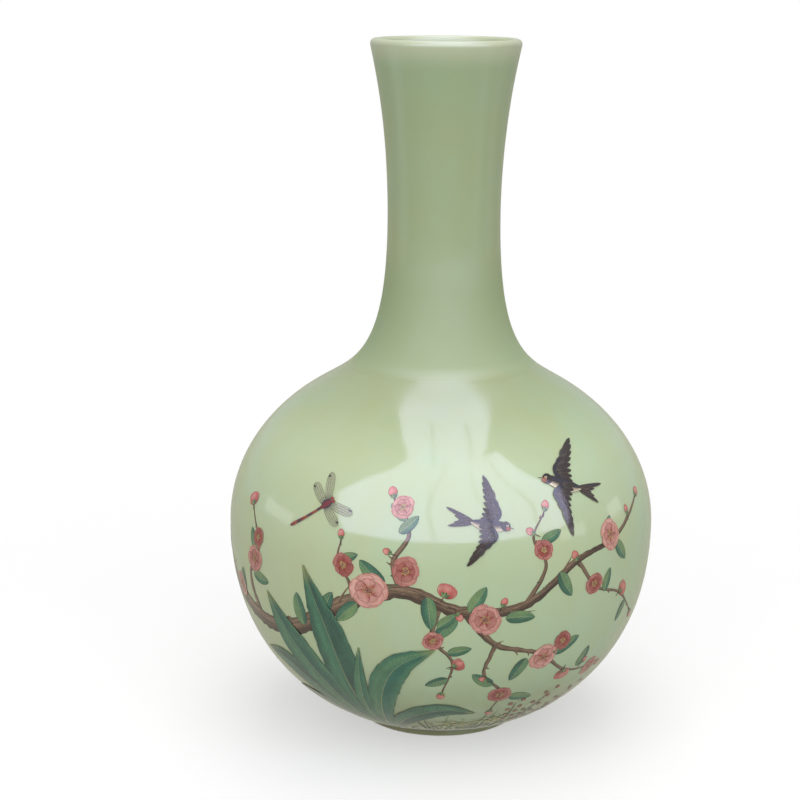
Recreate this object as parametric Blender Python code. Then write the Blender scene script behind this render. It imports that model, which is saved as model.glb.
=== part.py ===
"""Celestial globe vase: a round porcelain bottle with a tall neck that flares to its mouth.

It is built in the way that a potter builds one. A lower globe, an upper globe and a neck are
shaped apart and luted together with slip, and a foot ring is luted underneath. Coats of celadon
glaze then cover the outside and the lip, the inside, and the recess under the base.

Every piece is turned about the same upright axis. The origin is the centre of the foot, on the
table. All sizes are in metres. Places on the pot's wall are read from one outline, that of the
glazed outside, as a distance along it and a depth below it.
"""

import math

import bmesh
import bpy
import numpy as np

# The outline of the glazed outside, from the table up
FOOT_RADIUS = 0.0430
FOOT_HEIGHT = 0.0036
BELLY_RADIUS = 0.1090
LOWER_GLOBE_RISE = 0.1024  # from the top of the foot to the widest circle
LOWER_GLOBE_FULLNESS = 2.2  # power of the curve: 2 is an ellipse, more is fuller
UPPER_GLOBE_RISE = 0.0870  # half height of the ellipse above the widest circle
SHOULDER_ANGLE = math.radians(50)  # where the neck leaves that ellipse
NECK_RADIUS = 0.0284  # at the narrowest circle of the neck
NECK_RISE = 0.0905  # from the shoulder to that circle
SHOULDER_PULL = 0.28  # handles of the cubic between them, as shares of its chord
NECK_PULL = 0.77
MOUTH_RADIUS = 0.0375
FLARE_RISE = 0.0840  # from the narrowest circle to the lip
FLARE_PULL = 0.57  # handles of the flare's cubic, as shares of its rise
LIP_PULL = 0.05
LIP_LEAN = 0.15  # how far the wall leans out at the lip, for each unit up

# Walls and layers
WALL_AT_FOOT = 0.0062
WALL_AT_BELLY = 0.0046
WALL_AT_NECK = 0.0036
WALL_AT_LIP = 0.0032
FLOOR_THICKNESS = 0.0065
GLAZE = 0.0006
SLIP = 0.0008
GAP = 0.0003  # clearance between neighbouring pieces
LIP_LAP = 0.0050  # how far the outer glaze runs down inside the lip

# The foot and the recess inside it
FOOT_WIDTH = 0.0080  # from the glazed outside of the ring to its inner wall
FOOT_CHAMFER = 0.0008
BASE_RECESS = 0.0031  # height of the bare base above the table
BARE_FOOT = 0.0010  # the glaze stops this far above the table

# How finely the round shapes are cut
SEGMENTS = 44
LOWER_RINGS = 8
UPPER_RINGS = 7
NECK_RINGS = 7
FLARE_RINGS = 4
LIP_STEPS = 5
CURVE_SAMPLES = 300  # points that measure each curve of the outline
SHARPEST_SMOOTH_EDGE = math.radians(35)
WELD = 1e-6

BISCUIT = (0.78, 0.71, 0.60)
LUTING_SLIP = (0.62, 0.56, 0.47)
CELADON = (0.43, 0.53, 0.32)
BISCUIT_ROUGHNESS = 0.75
SLIP_ROUGHNESS = 0.85
GLAZE_ROUGHNESS = 0.12


def lower_globe_curve():
    """Superellipse from the axis, under the foot, out to the widest circle."""
    power = 2 / LOWER_GLOBE_FULLNESS
    foot_angle = math.acos((FOOT_RADIUS / BELLY_RADIUS) ** (1 / power))
    drop = LOWER_GLOBE_RISE / math.sin(foot_angle) ** power
    below = np.linspace(math.pi / 2, 0, CURVE_SAMPLES)
    radius = BELLY_RADIUS * np.clip(np.cos(below), 0, 1) ** power
    height = FOOT_HEIGHT + LOWER_GLOBE_RISE - drop * np.sin(below) ** power
    return np.column_stack([radius, height])


def upper_globe_curve():
    """Ellipse from the widest circle up to the shoulder."""
    above = np.linspace(0, SHOULDER_ANGLE, CURVE_SAMPLES)
    radius = BELLY_RADIUS * np.cos(above)
    height = FOOT_HEIGHT + LOWER_GLOBE_RISE + UPPER_GLOBE_RISE * np.sin(above)
    return np.column_stack([radius, height])


def cubic(start, start_handle, end_handle, end):
    """Cubic Bezier curve through its two ends, as evenly timed points."""
    t = np.linspace(0, 1, CURVE_SAMPLES)[:, None]
    points = (1 - t) ** 3 * start + 3 * (1 - t) ** 2 * t * start_handle
    return points + 3 * (1 - t) * t**2 * end_handle + t**3 * end


def neck_root_curve():
    """Cubic that leaves the shoulder in line with it and ends upright at the narrowest circle."""
    shoulder = upper_globe_curve()
    start = shoulder[-1]
    leaving = (start - shoulder[-2]) / np.linalg.norm(start - shoulder[-2])
    end = np.array([NECK_RADIUS, start[1] + NECK_RISE])
    chord = np.linalg.norm(end - start)
    start_handle = start + leaving * chord * SHOULDER_PULL
    end_handle = end - np.array([0, chord * NECK_PULL])
    return cubic(start, start_handle, end_handle, end)


def flare_curve():
    """Cubic that leaves the narrowest circle upright and widens to the lip."""
    start = neck_root_curve()[-1]
    end = np.array([MOUTH_RADIUS, start[1] + FLARE_RISE])
    start_handle = start + np.array([0, FLARE_RISE * FLARE_PULL])
    end_handle = end - FLARE_RISE * LIP_PULL * np.array([LIP_LEAN, 1])
    return cubic(start, start_handle, end_handle, end)


class Outline:
    """The glazed outside as one line, read by the distance along it from the axis under the foot."""

    def __init__(self):
        curves = [lower_globe_curve(), upper_globe_curve(), neck_root_curve(), flare_curve()]
        joined = [curves[0]] + [curve[1:] for curve in curves[1:]]
        self.points = np.vstack(joined)
        steps = np.linalg.norm(np.diff(self.points, axis=0), axis=1)
        self.along = np.concatenate([[0], np.cumsum(steps)])
        slope = np.gradient(self.points, self.along, axis=0)
        slope /= np.linalg.norm(slope, axis=1)[:, None]
        self.tangents = slope
        self.normals = np.column_stack([slope[:, 1], -slope[:, 0]])
        ends = np.cumsum([len(piece) for piece in joined]) - 1
        self.belly, self.shoulder, self.waist, self.lip = self.along[ends]
        self.lower_samples = ends[0] + 1

    def read(self, table, along):
        """Value of a table of two columns at a distance along the outline."""
        return np.array([np.interp(along, self.along, column) for column in table.T])

    def at(self, along, depth):
        """Radius and height of the point at a distance along the outline and a depth below it."""
        return tuple(self.read(self.points, along) - depth * self.read(self.normals, along))

    def lower_inset(self, depth):
        """The line at a depth below the lower globe's curve, with the distances it belongs to."""
        count = self.lower_samples
        return self.points[:count] - depth * self.normals[:count], self.along[:count]

    def where_radius(self, radius, depth):
        """Distance along at which the line at that depth reaches a radius, on the lower globe."""
        inset, along = self.lower_inset(depth)
        return float(np.interp(radius, inset[:, 0], along))

    def where_height(self, height, depth):
        """Distance along at which the line at that depth reaches a height, on the lower globe."""
        inset, along = self.lower_inset(depth)
        return float(np.interp(height, inset[:, 1], along))

    def equal_turns(self, start, end, count):
        """Distances along in equal steps of the curves' own parameters, so closest where they bend most."""
        samples = np.arange(len(self.along))
        first, last = np.interp([start, end], self.along, samples)
        return np.interp(np.linspace(first, last, count + 1), samples, self.along)

    def wall(self, along):
        """Thickness of the porcelain at a distance along the outline."""
        foot = self.where_radius(FOOT_RADIUS, 0)
        places = [foot, self.belly, self.waist, self.lip]
        return float(np.interp(along, places, [WALL_AT_FOOT, WALL_AT_BELLY, WALL_AT_NECK, WALL_AT_LIP]))


OUTLINE = Outline()
CLAY_OUTSIDE = GLAZE + GAP


def clay_inside(along):
    """Depth of the porcelain's inner face."""
    return CLAY_OUTSIDE + OUTLINE.wall(along)


def inner_glaze_back(along):
    """Depth of the inner glaze where it lies on the porcelain."""
    return clay_inside(along) + GAP


def inner_glaze_face(along):
    """Depth of the inner glaze's open face, which is the whole wall."""
    return inner_glaze_back(along) + GLAZE


def ring_places():
    """Distances along the outline of the rings that every layer shares."""
    foot = OUTLINE.where_radius(FOOT_RADIUS, 0)
    lower = OUTLINE.equal_turns(foot, OUTLINE.belly, LOWER_RINGS)
    upper = OUTLINE.equal_turns(OUTLINE.belly, OUTLINE.shoulder, UPPER_RINGS)
    root = OUTLINE.equal_turns(OUTLINE.shoulder, OUTLINE.waist, NECK_RINGS)
    flare = np.linspace(OUTLINE.waist, OUTLINE.lip, FLARE_RINGS + 1)
    return np.unique(np.concatenate([lower, upper, root, flare]))


def places_between(start, end):
    """The two ends and the shared rings between them, leaving out rings close to an end."""
    shared = ring_places()
    clear = SLIP + 2 * GAP
    inner = shared[(shared > start + clear) & (shared < end - clear)]
    return [start, *inner, end]


def lip_arc(inset):
    """Half circle over the lip, from its outside to its inside, a layer's inset below the glaze."""
    wall = inner_glaze_face(OUTLINE.lip)
    centre = np.array(OUTLINE.at(OUTLINE.lip, wall / 2))
    outward = OUTLINE.read(OUTLINE.normals, OUTLINE.lip)
    upward = OUTLINE.read(OUTLINE.tangents, OUTLINE.lip)
    reach = wall / 2 - inset
    turns = np.linspace(0, math.pi, LIP_STEPS + 1)
    return [tuple(centre + reach * (math.cos(a) * outward + math.sin(a) * upward)) for a in turns]


def turned(name, profile, material):
    """Solid of revolution of a profile of (radius, height) points. It may start and end on the axis."""
    opens_on_axis = profile[0][0] < WELD and profile[-1][0] < WELD
    bm = bmesh.new()
    verts = [bm.verts.new((radius, 0, height)) for radius, height in profile]
    ends = verts[1:] if opens_on_axis else verts[1:] + verts[:1]
    edges = [bm.edges.new(pair) for pair in zip(verts, ends)]
    bmesh.ops.spin(
        bm,
        geom=verts + edges,
        cent=(0, 0, 0),
        axis=(0, 0, 1),
        angle=math.tau,
        steps=SEGMENTS,
        use_merge=True,
    )
    bmesh.ops.remove_doubles(bm, verts=bm.verts, dist=WELD)
    bmesh.ops.recalc_face_normals(bm, faces=bm.faces)
    mesh = bpy.data.meshes.new(name)
    bm.to_mesh(mesh)
    bm.free()
    mesh.shade_smooth()
    mesh.set_sharp_from_angle(angle=SHARPEST_SMOOTH_EDGE)
    mesh.materials.append(material)
    piece = bpy.data.objects.new(name, mesh)
    bpy.context.scene.collection.objects.link(piece)
    return piece


def wall_section(name, start, end, material):
    """Ring of the porcelain wall between two distances along the outline, with square ends."""
    places = places_between(start, end)
    outside = [OUTLINE.at(s, CLAY_OUTSIDE) for s in places]
    inside = [OUTLINE.at(s, clay_inside(s)) for s in reversed(places)]
    return turned(name, outside + inside, material)


def half_joint():
    """Distance from the middle of a luted joint to the section beside it."""
    return SLIP / 2 + GAP


def slip_joint(name, seam, material):
    """Thin ring of slip in the wall between two sections, centred on their seam."""
    ends = [seam - SLIP / 2, seam + SLIP / 2]
    outside = [OUTLINE.at(s, CLAY_OUTSIDE) for s in ends]
    inside = [OUTLINE.at(s, clay_inside(s)) for s in reversed(ends)]
    return turned(name, outside + inside, material)


def base_edge():
    """Distance along at which the recessed base meets the underside of the lower globe."""
    return OUTLINE.where_height(BASE_RECESS, CLAY_OUTSIDE)


def lower_globe(material):
    """Lower half of the body with its floor, up to the seam at the widest circle."""
    end = OUTLINE.belly - half_joint()
    foot = OUTLINE.where_radius(FOOT_RADIUS - CLAY_OUTSIDE, CLAY_OUTSIDE)
    floor = BASE_RECESS + FLOOR_THICKNESS
    floor_edge = OUTLINE.where_height(floor, clay_inside(foot))
    under = [(0, BASE_RECESS), OUTLINE.at(base_edge(), CLAY_OUTSIDE)]
    outside = [OUTLINE.at(s, CLAY_OUTSIDE) for s in places_between(foot, end)]
    inside = [OUTLINE.at(s, clay_inside(s)) for s in reversed(places_between(floor_edge, end))]
    return turned("lower_globe", under + outside + inside + [(0, inside[-1][1])], material)


def upper_globe(material):
    """Upper half of the body, from the widest circle to the root of the neck."""
    start = OUTLINE.belly + half_joint()
    end = OUTLINE.shoulder - half_joint()
    return wall_section("upper_globe", start, end, material)


def neck(material):
    """The neck from its root to the rounded lip."""
    places = places_between(OUTLINE.shoulder + half_joint(), OUTLINE.lip)[:-1]
    outside = [OUTLINE.at(s, CLAY_OUTSIDE) for s in places]
    inside = [OUTLINE.at(s, clay_inside(s)) for s in reversed(places)]
    return turned("neck", outside + lip_arc(CLAY_OUTSIDE) + inside, material)


def foot_top(drop):
    """Line below the underside of the body, from the foot ring's inner wall to its outside."""
    inner = FOOT_RADIUS - FOOT_WIDTH
    outer = FOOT_RADIUS - CLAY_OUTSIDE
    knee = OUTLINE.at(base_edge(), CLAY_OUTSIDE)
    corner = OUTLINE.at(OUTLINE.where_radius(outer, CLAY_OUTSIDE), CLAY_OUTSIDE)
    line = [(inner, BASE_RECESS), knee, corner]
    if not inner < knee[0] < outer:
        line.remove(knee)
    return [(radius, height - drop) for radius, height in line]


def foot_ring(material):
    """Ring that the vase stands on, bare below and chamfered at both edges."""
    top = foot_top(SLIP + 2 * GAP)
    inner, outer = top[0][0], top[-1][0]
    bottom = [
        (outer, FOOT_CHAMFER),
        (outer - FOOT_CHAMFER, 0),
        (inner + FOOT_CHAMFER, 0),
        (inner, FOOT_CHAMFER),
    ]
    return turned("foot_ring", top + bottom, material)


def foot_slip_joint(material):
    """Thin layer of slip between the foot ring and the body."""
    return turned("foot_slip_joint", foot_top(GAP) + foot_top(GAP + SLIP)[::-1], material)


def outer_glaze(material):
    """Coat over the foot, the body, the neck and the lip, and a little way down inside."""
    lap = OUTLINE.lip - LIP_LAP

    def outside(depth):
        corner = OUTLINE.where_radius(FOOT_RADIUS - depth, depth)
        places = places_between(corner, OUTLINE.lip)[:-1]
        return [(FOOT_RADIUS - depth, BARE_FOOT)] + [OUTLINE.at(s, depth) for s in places]

    face = outside(0) + lip_arc(0) + [OUTLINE.at(lap, inner_glaze_face(lap))]
    back = [OUTLINE.at(lap, inner_glaze_back(lap))] + lip_arc(GLAZE)[::-1] + outside(GLAZE)[::-1]
    return turned("outer_glaze", face + back, material)


def inner_glaze(material):
    """Coat over the inside of the neck, the globe and its floor."""
    start = OUTLINE.lip - LIP_LAP - GAP
    floor = BASE_RECESS + FLOOR_THICKNESS + GAP
    foot = OUTLINE.where_radius(FOOT_RADIUS, 0)

    def inside(depth, height):
        edge = OUTLINE.where_height(height, depth(foot))
        line = [OUTLINE.at(s, depth(s)) for s in reversed(places_between(edge, start))]
        return line + [(0, line[-1][1])]

    face = inside(inner_glaze_face, floor + GLAZE)
    back = inside(inner_glaze_back, floor)
    return turned("inner_glaze", face[::-1] + back, material)


def base_glaze(material):
    """Coat on the recessed base and down the inner wall of the foot ring."""
    wall = FOOT_RADIUS - FOOT_WIDTH - GAP
    top = BASE_RECESS - GAP
    profile = [
        (0, top),
        (wall, top),
        (wall, BARE_FOOT),
        (wall - GLAZE, BARE_FOOT),
        (wall - GLAZE, top - GLAZE),
        (0, top - GLAZE),
    ]
    return turned("base_glaze", profile, material)


def surface(name, colour, roughness):
    """Plain Principled material of one colour."""
    material = bpy.data.materials.new(name)
    material.use_nodes = True
    shader = material.node_tree.nodes["Principled BSDF"]
    shader.inputs["Base Color"].default_value = (*colour, 1)
    shader.inputs["Roughness"].default_value = roughness
    shader.inputs["Metallic"].default_value = 0
    material.diffuse_color = (*colour, 1)
    return material


def build():
    """The vase, each piece parented to one empty at the centre of its foot."""
    for leftover in list(bpy.data.objects):
        bpy.data.objects.remove(leftover, do_unlink=True)
    biscuit = surface("biscuit_porcelain", BISCUIT, BISCUIT_ROUGHNESS)
    slip = surface("luting_slip", LUTING_SLIP, SLIP_ROUGHNESS)
    celadon = surface("celadon_glaze", CELADON, GLAZE_ROUGHNESS)
    pieces = [
        foot_ring(biscuit),
        foot_slip_joint(slip),
        lower_globe(biscuit),
        slip_joint("waist_slip_joint", OUTLINE.belly, slip),
        upper_globe(biscuit),
        slip_joint("neck_slip_joint", OUTLINE.shoulder, slip),
        neck(biscuit),
        outer_glaze(celadon),
        inner_glaze(celadon),
        base_glaze(celadon),
    ]
    vase = bpy.data.objects.new("vase", None)
    bpy.context.scene.collection.objects.link(vase)
    for piece in pieces:
        piece.parent = vase


build()
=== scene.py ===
"""Celestial globe vase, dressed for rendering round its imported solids.

The glaze, the lining, the base and the foot are turned surfaces finer than the solids, and the
painting lies on the glaze as thin strokes of enamel. Every place on the pot is given by a longitude
and a distance along the outline. Sizes are in metres, and the painting's own are in millimetres.
"""

import math

import bpy
import numpy as np
from mathutils import Euler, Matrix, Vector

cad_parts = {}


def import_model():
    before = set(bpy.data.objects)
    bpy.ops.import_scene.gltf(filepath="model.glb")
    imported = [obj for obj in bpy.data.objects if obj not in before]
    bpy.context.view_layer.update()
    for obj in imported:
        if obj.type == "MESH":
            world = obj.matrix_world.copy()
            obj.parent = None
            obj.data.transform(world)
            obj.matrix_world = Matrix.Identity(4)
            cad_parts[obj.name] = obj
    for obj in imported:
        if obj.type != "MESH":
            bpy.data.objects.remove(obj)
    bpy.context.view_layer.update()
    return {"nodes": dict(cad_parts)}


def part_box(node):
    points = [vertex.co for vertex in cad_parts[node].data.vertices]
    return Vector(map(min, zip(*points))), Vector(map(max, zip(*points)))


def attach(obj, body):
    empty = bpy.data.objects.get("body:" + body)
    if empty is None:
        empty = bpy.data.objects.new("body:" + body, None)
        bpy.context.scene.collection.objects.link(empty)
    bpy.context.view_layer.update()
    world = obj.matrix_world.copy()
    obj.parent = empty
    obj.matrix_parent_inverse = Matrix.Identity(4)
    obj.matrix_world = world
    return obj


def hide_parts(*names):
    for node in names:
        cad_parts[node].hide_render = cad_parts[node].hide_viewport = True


bl_info = {
    "name": "Celestial globe vase",
    "version": (1, 0, 0),
    "blender": (4, 5, 0),
    "location": "3D View > Sidebar > Vase",
    "description": "Builds a celadon vase with a painted branch, birds and leaves, and its stage",
    "category": "Object",
}

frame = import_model()
MM = 0.001

# The outline of the glazed outside, as the solids have it
GLAZE = 0.6 * MM
SLIP = 0.8 * MM
GAP = 0.3 * MM
FOOT_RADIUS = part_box("foot_ring")[1].x + GAP + GLAZE
FOOT_HEIGHT = 3.6 * MM
FOOT_WIDTH = 8.0 * MM
FOOT_OVERLAP = 0.12  # radians by which the lower globe's line is carried on inside the foot
BARE_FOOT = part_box("outer_glaze")[0].z
BASE_RECESS = 3.1 * MM
SHOULDER_ANGLE = math.radians(50)
SHOULDER_PULL = 0.28
NECK_PULL = 0.77
FLARE_PULL = 0.57
LIP_PULL = 0.05
LIP_LEAN = 0.15
WALLS = (8.0 * MM, 6.4 * MM, 5.4 * MM, 5.0 * MM)  # whole wall at the foot, belly, waist and lip
LIP_LAP = 5.0 * MM
FOOT_FILLET = 1.4 * MM
FOOT_POOL = 5.0 * MM
POOL = 5.0 * MM
SEAM = 0.02 * MM  # between the body's coat and the lining, which are one glaze to the eye
CRISP = 0.1 * MM  # last row before a sharp edge, so that the shading stays even up to it
WORN_EDGE = 0.9 * MM
WORN_ROW = 0.4 * MM  # from the worn edge to the next row, for the same reason
RIPPLE_FADES = (20 * MM, 30 * MM)  # lengths over which the ripple dies out at the foot and at the lip
CURVE_SAMPLES = 400

# Columns of the turned surfaces, and how far apart their rows are
BODY_COLUMNS = 248
LINING_COLUMNS = 160
BASE_COLUMNS = 128
FOOT_COLUMNS = 160
FACE_STEP = 1.5 * MM
LAP_STEP = 1.2 * MM
LINING_STEP = 2.5 * MM
FLAT_STEP = 4 * MM
BACK_STEP = 8 * MM
HUB = 2 * MM  # radius inside which a fan of faces closes a flat


def length(name, description, default):
    """A size that a user may change, in metres."""
    return bpy.props.FloatProperty(
        name=name, description=description, default=default, min=0.001, unit="LENGTH", precision=4
    )


def linear(srgb):
    """Linear values of a colour given as it looks on a screen, from 0 to 255."""
    share = np.asarray(srgb, float) / 255
    return tuple(np.where(share <= 0.04045, share / 12.92, ((share + 0.055) / 1.055) ** 2.4))


def swatch(name, description, srgb):
    """A colour that a user may change."""
    return bpy.props.FloatVectorProperty(
        name=name, description=description, default=linear(srgb), subtype="COLOR", size=3, min=0, max=1
    )


def level(name, description, default, most=10.0):
    """A plain number that a user may change."""
    return bpy.props.FloatProperty(name=name, description=description, default=default, min=0, max=most)


class VaseSizes(bpy.types.PropertyGroup):
    """Sizes of the vase's outline. Their defaults come from the solids."""

    belly_radius: length("Belly radius", "Radius of the widest circle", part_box("outer_glaze")[1].x)
    belly_height: length(
        "Belly height",
        "Height of the widest circle above the table",
        sum(corner.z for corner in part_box("waist_slip_joint")) / 2,
    )
    fullness: level("Fullness", "Power of the lower globe's curve: 2 is an ellipse, more is fuller", 2.2)
    upper_rise: length("Upper globe", "Half height of the ellipse above the widest circle", 87.0 * MM)
    neck_radius: length("Neck radius", "Radius of the narrowest circle of the neck", 28.4 * MM)
    neck_rise: length("Neck rise", "From the shoulder to that circle", 90.5 * MM)
    mouth_radius: length("Mouth radius", "Radius of the outside at the lip", 37.5 * MM)
    flare_rise: length("Flare rise", "From the narrowest circle to the lip", 84.0 * MM)


class GlazeColours(bpy.types.PropertyGroup):
    """Colours and gloss of the glaze, the bare porcelain and the slip."""

    celadon: swatch("Celadon", "Glaze at its usual thickness", (192, 206, 167))
    mint: swatch("Mint", "Bluish patches of the glaze", (183, 208, 172))
    olive: swatch("Olive", "Yellowish patches of the glaze", (190, 200, 151))
    # Painted shade: the tint that darkens the whole neck
    neck_shade: swatch("Smoky tint", "What deepens the glaze on the neck", (217, 218, 205))
    # Painted shade: the tint that darkens the concave root of the neck a little more
    root: swatch("Root tint", "What deepens the glaze a little more at the neck's root", (233, 241, 226))
    thin: swatch("Thin glaze", "Glaze drawn thin over the lip", (198, 205, 174))
    # Glaze pooled at the foot, darkened further as painted shade under the globe
    pooled: swatch("Pooled glaze", "Glaze gathered at the foot", (146, 150, 98))
    biscuit: swatch("Biscuit", "Bare porcelain", (224, 214, 196))
    toasted: swatch("Toasted biscuit", "Bare porcelain browned by the kiln", (190, 158, 122))
    slip: swatch("Slip", "Clay that lutes the sections together", (200, 190, 172))
    roughness: level("Globe roughness", "Roughness of the glaze on the globe", 0.08, 1.0)
    root_roughness: level("Root roughness", "Roughness of the dull glaze at the neck's root", 0.78, 1.0)
    neck_roughness: level("Neck roughness", "Roughness of the glaze on the neck", 0.28, 1.0)


class EnamelColours(bpy.types.PropertyGroup):
    """Colours of the painting's enamels."""

    ink: swatch("Ink", "Outlines and veins", (52, 38, 36))
    umber: swatch("Umber", "Shaded side of the branch", (84, 62, 48))
    bark: swatch("Bark", "Lit side of the branch", (148, 120, 96))
    crimson: swatch("Crimson", "Hearts of the blossoms, buds and berries", (142, 40, 40))
    rose: swatch("Rose", "Bases and rims of the petals", (206, 104, 98))
    blush: swatch("Blush", "Pale middles of the petals", (236, 186, 172))
    cream: swatch("Cream", "Breasts and stamens", (226, 214, 186))
    yellow: swatch("Yellow", "Pollen and small flowers", (208, 198, 108))
    moss: swatch("Moss", "Young leaves and grass", (142, 164, 100))
    leaf: swatch("Leaf", "Grown leaves", (88, 138, 100))
    teal: swatch("Teal", "Broad leaves", (50, 116, 94))
    deep: swatch("Deep green", "Shade in the leaves", (36, 66, 58))
    rust: swatch("Rust", "Throats and withered tips", (158, 78, 50))
    feather: swatch("Feather", "Wings and backs", (46, 33, 32))
    indigo: swatch("Indigo", "Sheen on wings", (38, 42, 66))


class StageLights(bpy.types.PropertyGroup):
    """Levels of the studio's soft light."""

    ceiling: level("Ceiling panels", "Radiance of the panels overhead", 2.2)
    window: level("Front panel", "Radiance of the broad panel in front, as the glaze mirrors it", 2.4)
    fill: level("Front light", "Radiance of the same panel as a light", 1.6)
    side: level("Side strips", "Radiance of the pale strips that the neck mirrors", 1.3)
    room: level("Room", "Light from everywhere else", 0.45)
    table: level("Table", "How much of its light the table gives back", 0.5, 1.0)
    dome: level("Dome", "Radiance of the room that the glaze mirrors", 0.55)
    sheen: level("Table in the glaze", "Radiance of the table that the glaze mirrors", 0.5)


GROUPS = {
    "vase_sizes": VaseSizes,
    "vase_glaze": GlazeColours,
    "vase_enamels": EnamelColours,
    "vase_lights": StageLights,
}


def cubic(start, start_handle, end_handle, end):
    """Cubic Bezier curve: the four points weighted by the terms of (1 - t + t) cubed."""
    t = np.linspace(0, 1, CURVE_SAMPLES)[:, None]
    points = (1 - t) ** 3 * start + 3 * (1 - t) ** 2 * t * start_handle
    return points + 3 * (1 - t) * t**2 * end_handle + t**3 * end


def lower_globe_line(sizes):
    """Superellipse: radius goes as a power of the cosine and height as the same power of the sine."""
    power = 2 / sizes.fullness
    foot_angle = math.acos((FOOT_RADIUS / sizes.belly_radius) ** (1 / power))
    drop = (sizes.belly_height - FOOT_HEIGHT) / math.sin(foot_angle) ** power
    below = np.linspace(foot_angle + FOOT_OVERLAP, 0, CURVE_SAMPLES)
    radius = sizes.belly_radius * np.cos(below) ** power
    return np.column_stack([radius, sizes.belly_height - drop * np.sin(below) ** power])


def upper_globe_line(sizes):
    """Ellipse from the widest circle up to the shoulder."""
    above = np.linspace(0, SHOULDER_ANGLE, CURVE_SAMPLES)
    height = sizes.belly_height + sizes.upper_rise * np.sin(above)
    return np.column_stack([sizes.belly_radius * np.cos(above), height])


def neck_lines(sizes, shoulder):
    """Cubic that leaves the shoulder in line with it and ends upright, and one that flares to the lip."""
    start = shoulder[-1]
    leaving = (start - shoulder[-2]) / np.linalg.norm(start - shoulder[-2])
    waist = np.array([sizes.neck_radius, start[1] + sizes.neck_rise])
    chord = np.linalg.norm(waist - start)
    root = cubic(start, start + leaving * chord * SHOULDER_PULL, waist - [0, chord * NECK_PULL], waist)
    lip = np.array([sizes.mouth_radius, waist[1] + sizes.flare_rise])
    lean = sizes.flare_rise * LIP_PULL * np.array([LIP_LEAN, 1])
    return root, cubic(waist, waist + [0, sizes.flare_rise * FLARE_PULL], lip - lean, lip)


class Outline:
    """The glazed outside as one line, read by the distance along it above the widest circle."""

    def __init__(self, sizes):
        lower, upper = lower_globe_line(sizes), upper_globe_line(sizes)
        root, flare = neck_lines(sizes, upper)
        self.points = np.vstack([lower, upper[1:], root[1:], flare[1:]])
        steps = np.linalg.norm(np.diff(self.points, axis=0), axis=1)
        along = np.concatenate([[0], np.cumsum(steps)])
        self.along = along - along[len(lower) - 1]
        slope = np.gradient(self.points, self.along, axis=0)
        slope /= np.linalg.norm(slope, axis=1)[:, None]
        self.normals = np.column_stack([slope[:, 1], -slope[:, 0]])
        ends = np.cumsum([len(lower), len(upper) - 1, len(root) - 1, len(flare) - 1]) - 1
        self.belly, self.shoulder, self.waist, self.lip = self.along[ends]
        self.foot = self.where_radius(FOOT_RADIUS, 0)

    def read(self, table, along):
        """Values of a table of two columns at distances along the outline."""
        return np.stack([np.interp(along, self.along, column) for column in table.T], axis=-1)

    def at(self, along, depth=0.0):
        """Radius and height of points at distances along the outline and depths below it."""
        return self.read(self.points, along) - np.asarray(depth)[..., None] * self.read(self.normals, along)

    def radius(self, along):
        """Radius of the outline at distances along it."""
        return np.interp(along, self.along, self.points[:, 0])

    def where_radius(self, radius, depth):
        """Distance along at which the line at a depth has a radius, below the widest circle."""
        inset = self.points[:CURVE_SAMPLES] - depth * self.normals[:CURVE_SAMPLES]
        return float(np.interp(radius, inset[:, 0], self.along[:CURVE_SAMPLES]))

    def wall(self, along):
        """Thickness of the whole wall, glaze included, at distances along the outline."""
        return np.interp(along, [self.foot, self.belly, self.waist, self.lip], WALLS)

    def lip_arc(self, inset, steps):
        """Half circle over the lip from its outside to its inside, an inset below the glaze."""
        half_wall = self.wall(self.lip) / 2
        outward = self.read(self.normals, self.lip)
        upward = np.array([-outward[1], outward[0]])
        turn = np.linspace(0, math.pi, steps + 1)[:, None]
        reach = (half_wall - inset) * (np.cos(turn) * outward + np.sin(turn) * upward)
        return self.at(self.lip, half_wall) + reach

    def ripple(self, longitude, along):
        """Height of the faint rings and flats that the potter's hands left.

        A sum of sines a few hundredths of a millimetre high, which dies out at the foot and the lip.
        """
        circles = 0.010 * np.sin(along * 420 + 1.3 * np.sin(longitude * 2))
        flats = 0.022 * np.sin(longitude * 3 + along * 31) + 0.015 * np.sin(longitude * 5 - along * 53 + 1.1)
        swells = 0.020 * np.sin(along * 96 + 2 * np.cos(longitude + 0.6))
        at_foot, at_lip = RIPPLE_FADES
        fade = np.clip((along - self.foot) / at_foot, 0, 1) * np.clip((self.lip - along) / at_lip, 0, 1)
        return (circles + flats + swells) * fade * MM

    def skin(self, longitude, along, lift=0.0):
        """Points on the glazed outside: (r sin, -r cos, z) of the outline's radius and height.

        Longitude 0 faces the front. The ripple and the lift move a point along the outline's normal.
        """
        line = self.at(along, -(lift + self.ripple(longitude, along)))
        radius, height = line[..., 0], line[..., 1]
        return np.stack([radius * np.sin(longitude), -radius * np.cos(longitude), height], axis=-1)


def grid_faces(rows, columns, first=0, wrap=False, loop=False):
    """Quads of a grid of vertices numbered row by row. Wrap joins its sides, and loop joins its ends."""
    i = np.arange(rows if loop else rows - 1)[:, None]
    j = np.arange(columns if wrap else columns - 1)[None, :]
    below, above, beside = i * columns, (i + 1) % rows * columns, (j + 1) % columns
    corners = [below + j, below + beside, above + beside, above + j]
    return first + np.stack(corners, axis=-1).reshape(-1, 4)


def placed(name, data):
    """Object at the origin that shows a mesh or holds a camera."""
    made = bpy.data.objects.new(name, data)
    bpy.context.scene.collection.objects.link(made)
    return made


def new_piece(name, points, faces, material):
    """Mesh object at the origin that rides on the vase's one body."""
    mesh = bpy.data.meshes.new(name)
    mesh.from_pydata(points, [], faces)
    mesh.shade_smooth()
    mesh.materials.append(material)
    piece = placed(name, mesh)
    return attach(piece, "root")


def around(columns):
    """Longitudes of the columns of a turned piece."""
    return np.arange(columns) * math.tau / columns


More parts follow.
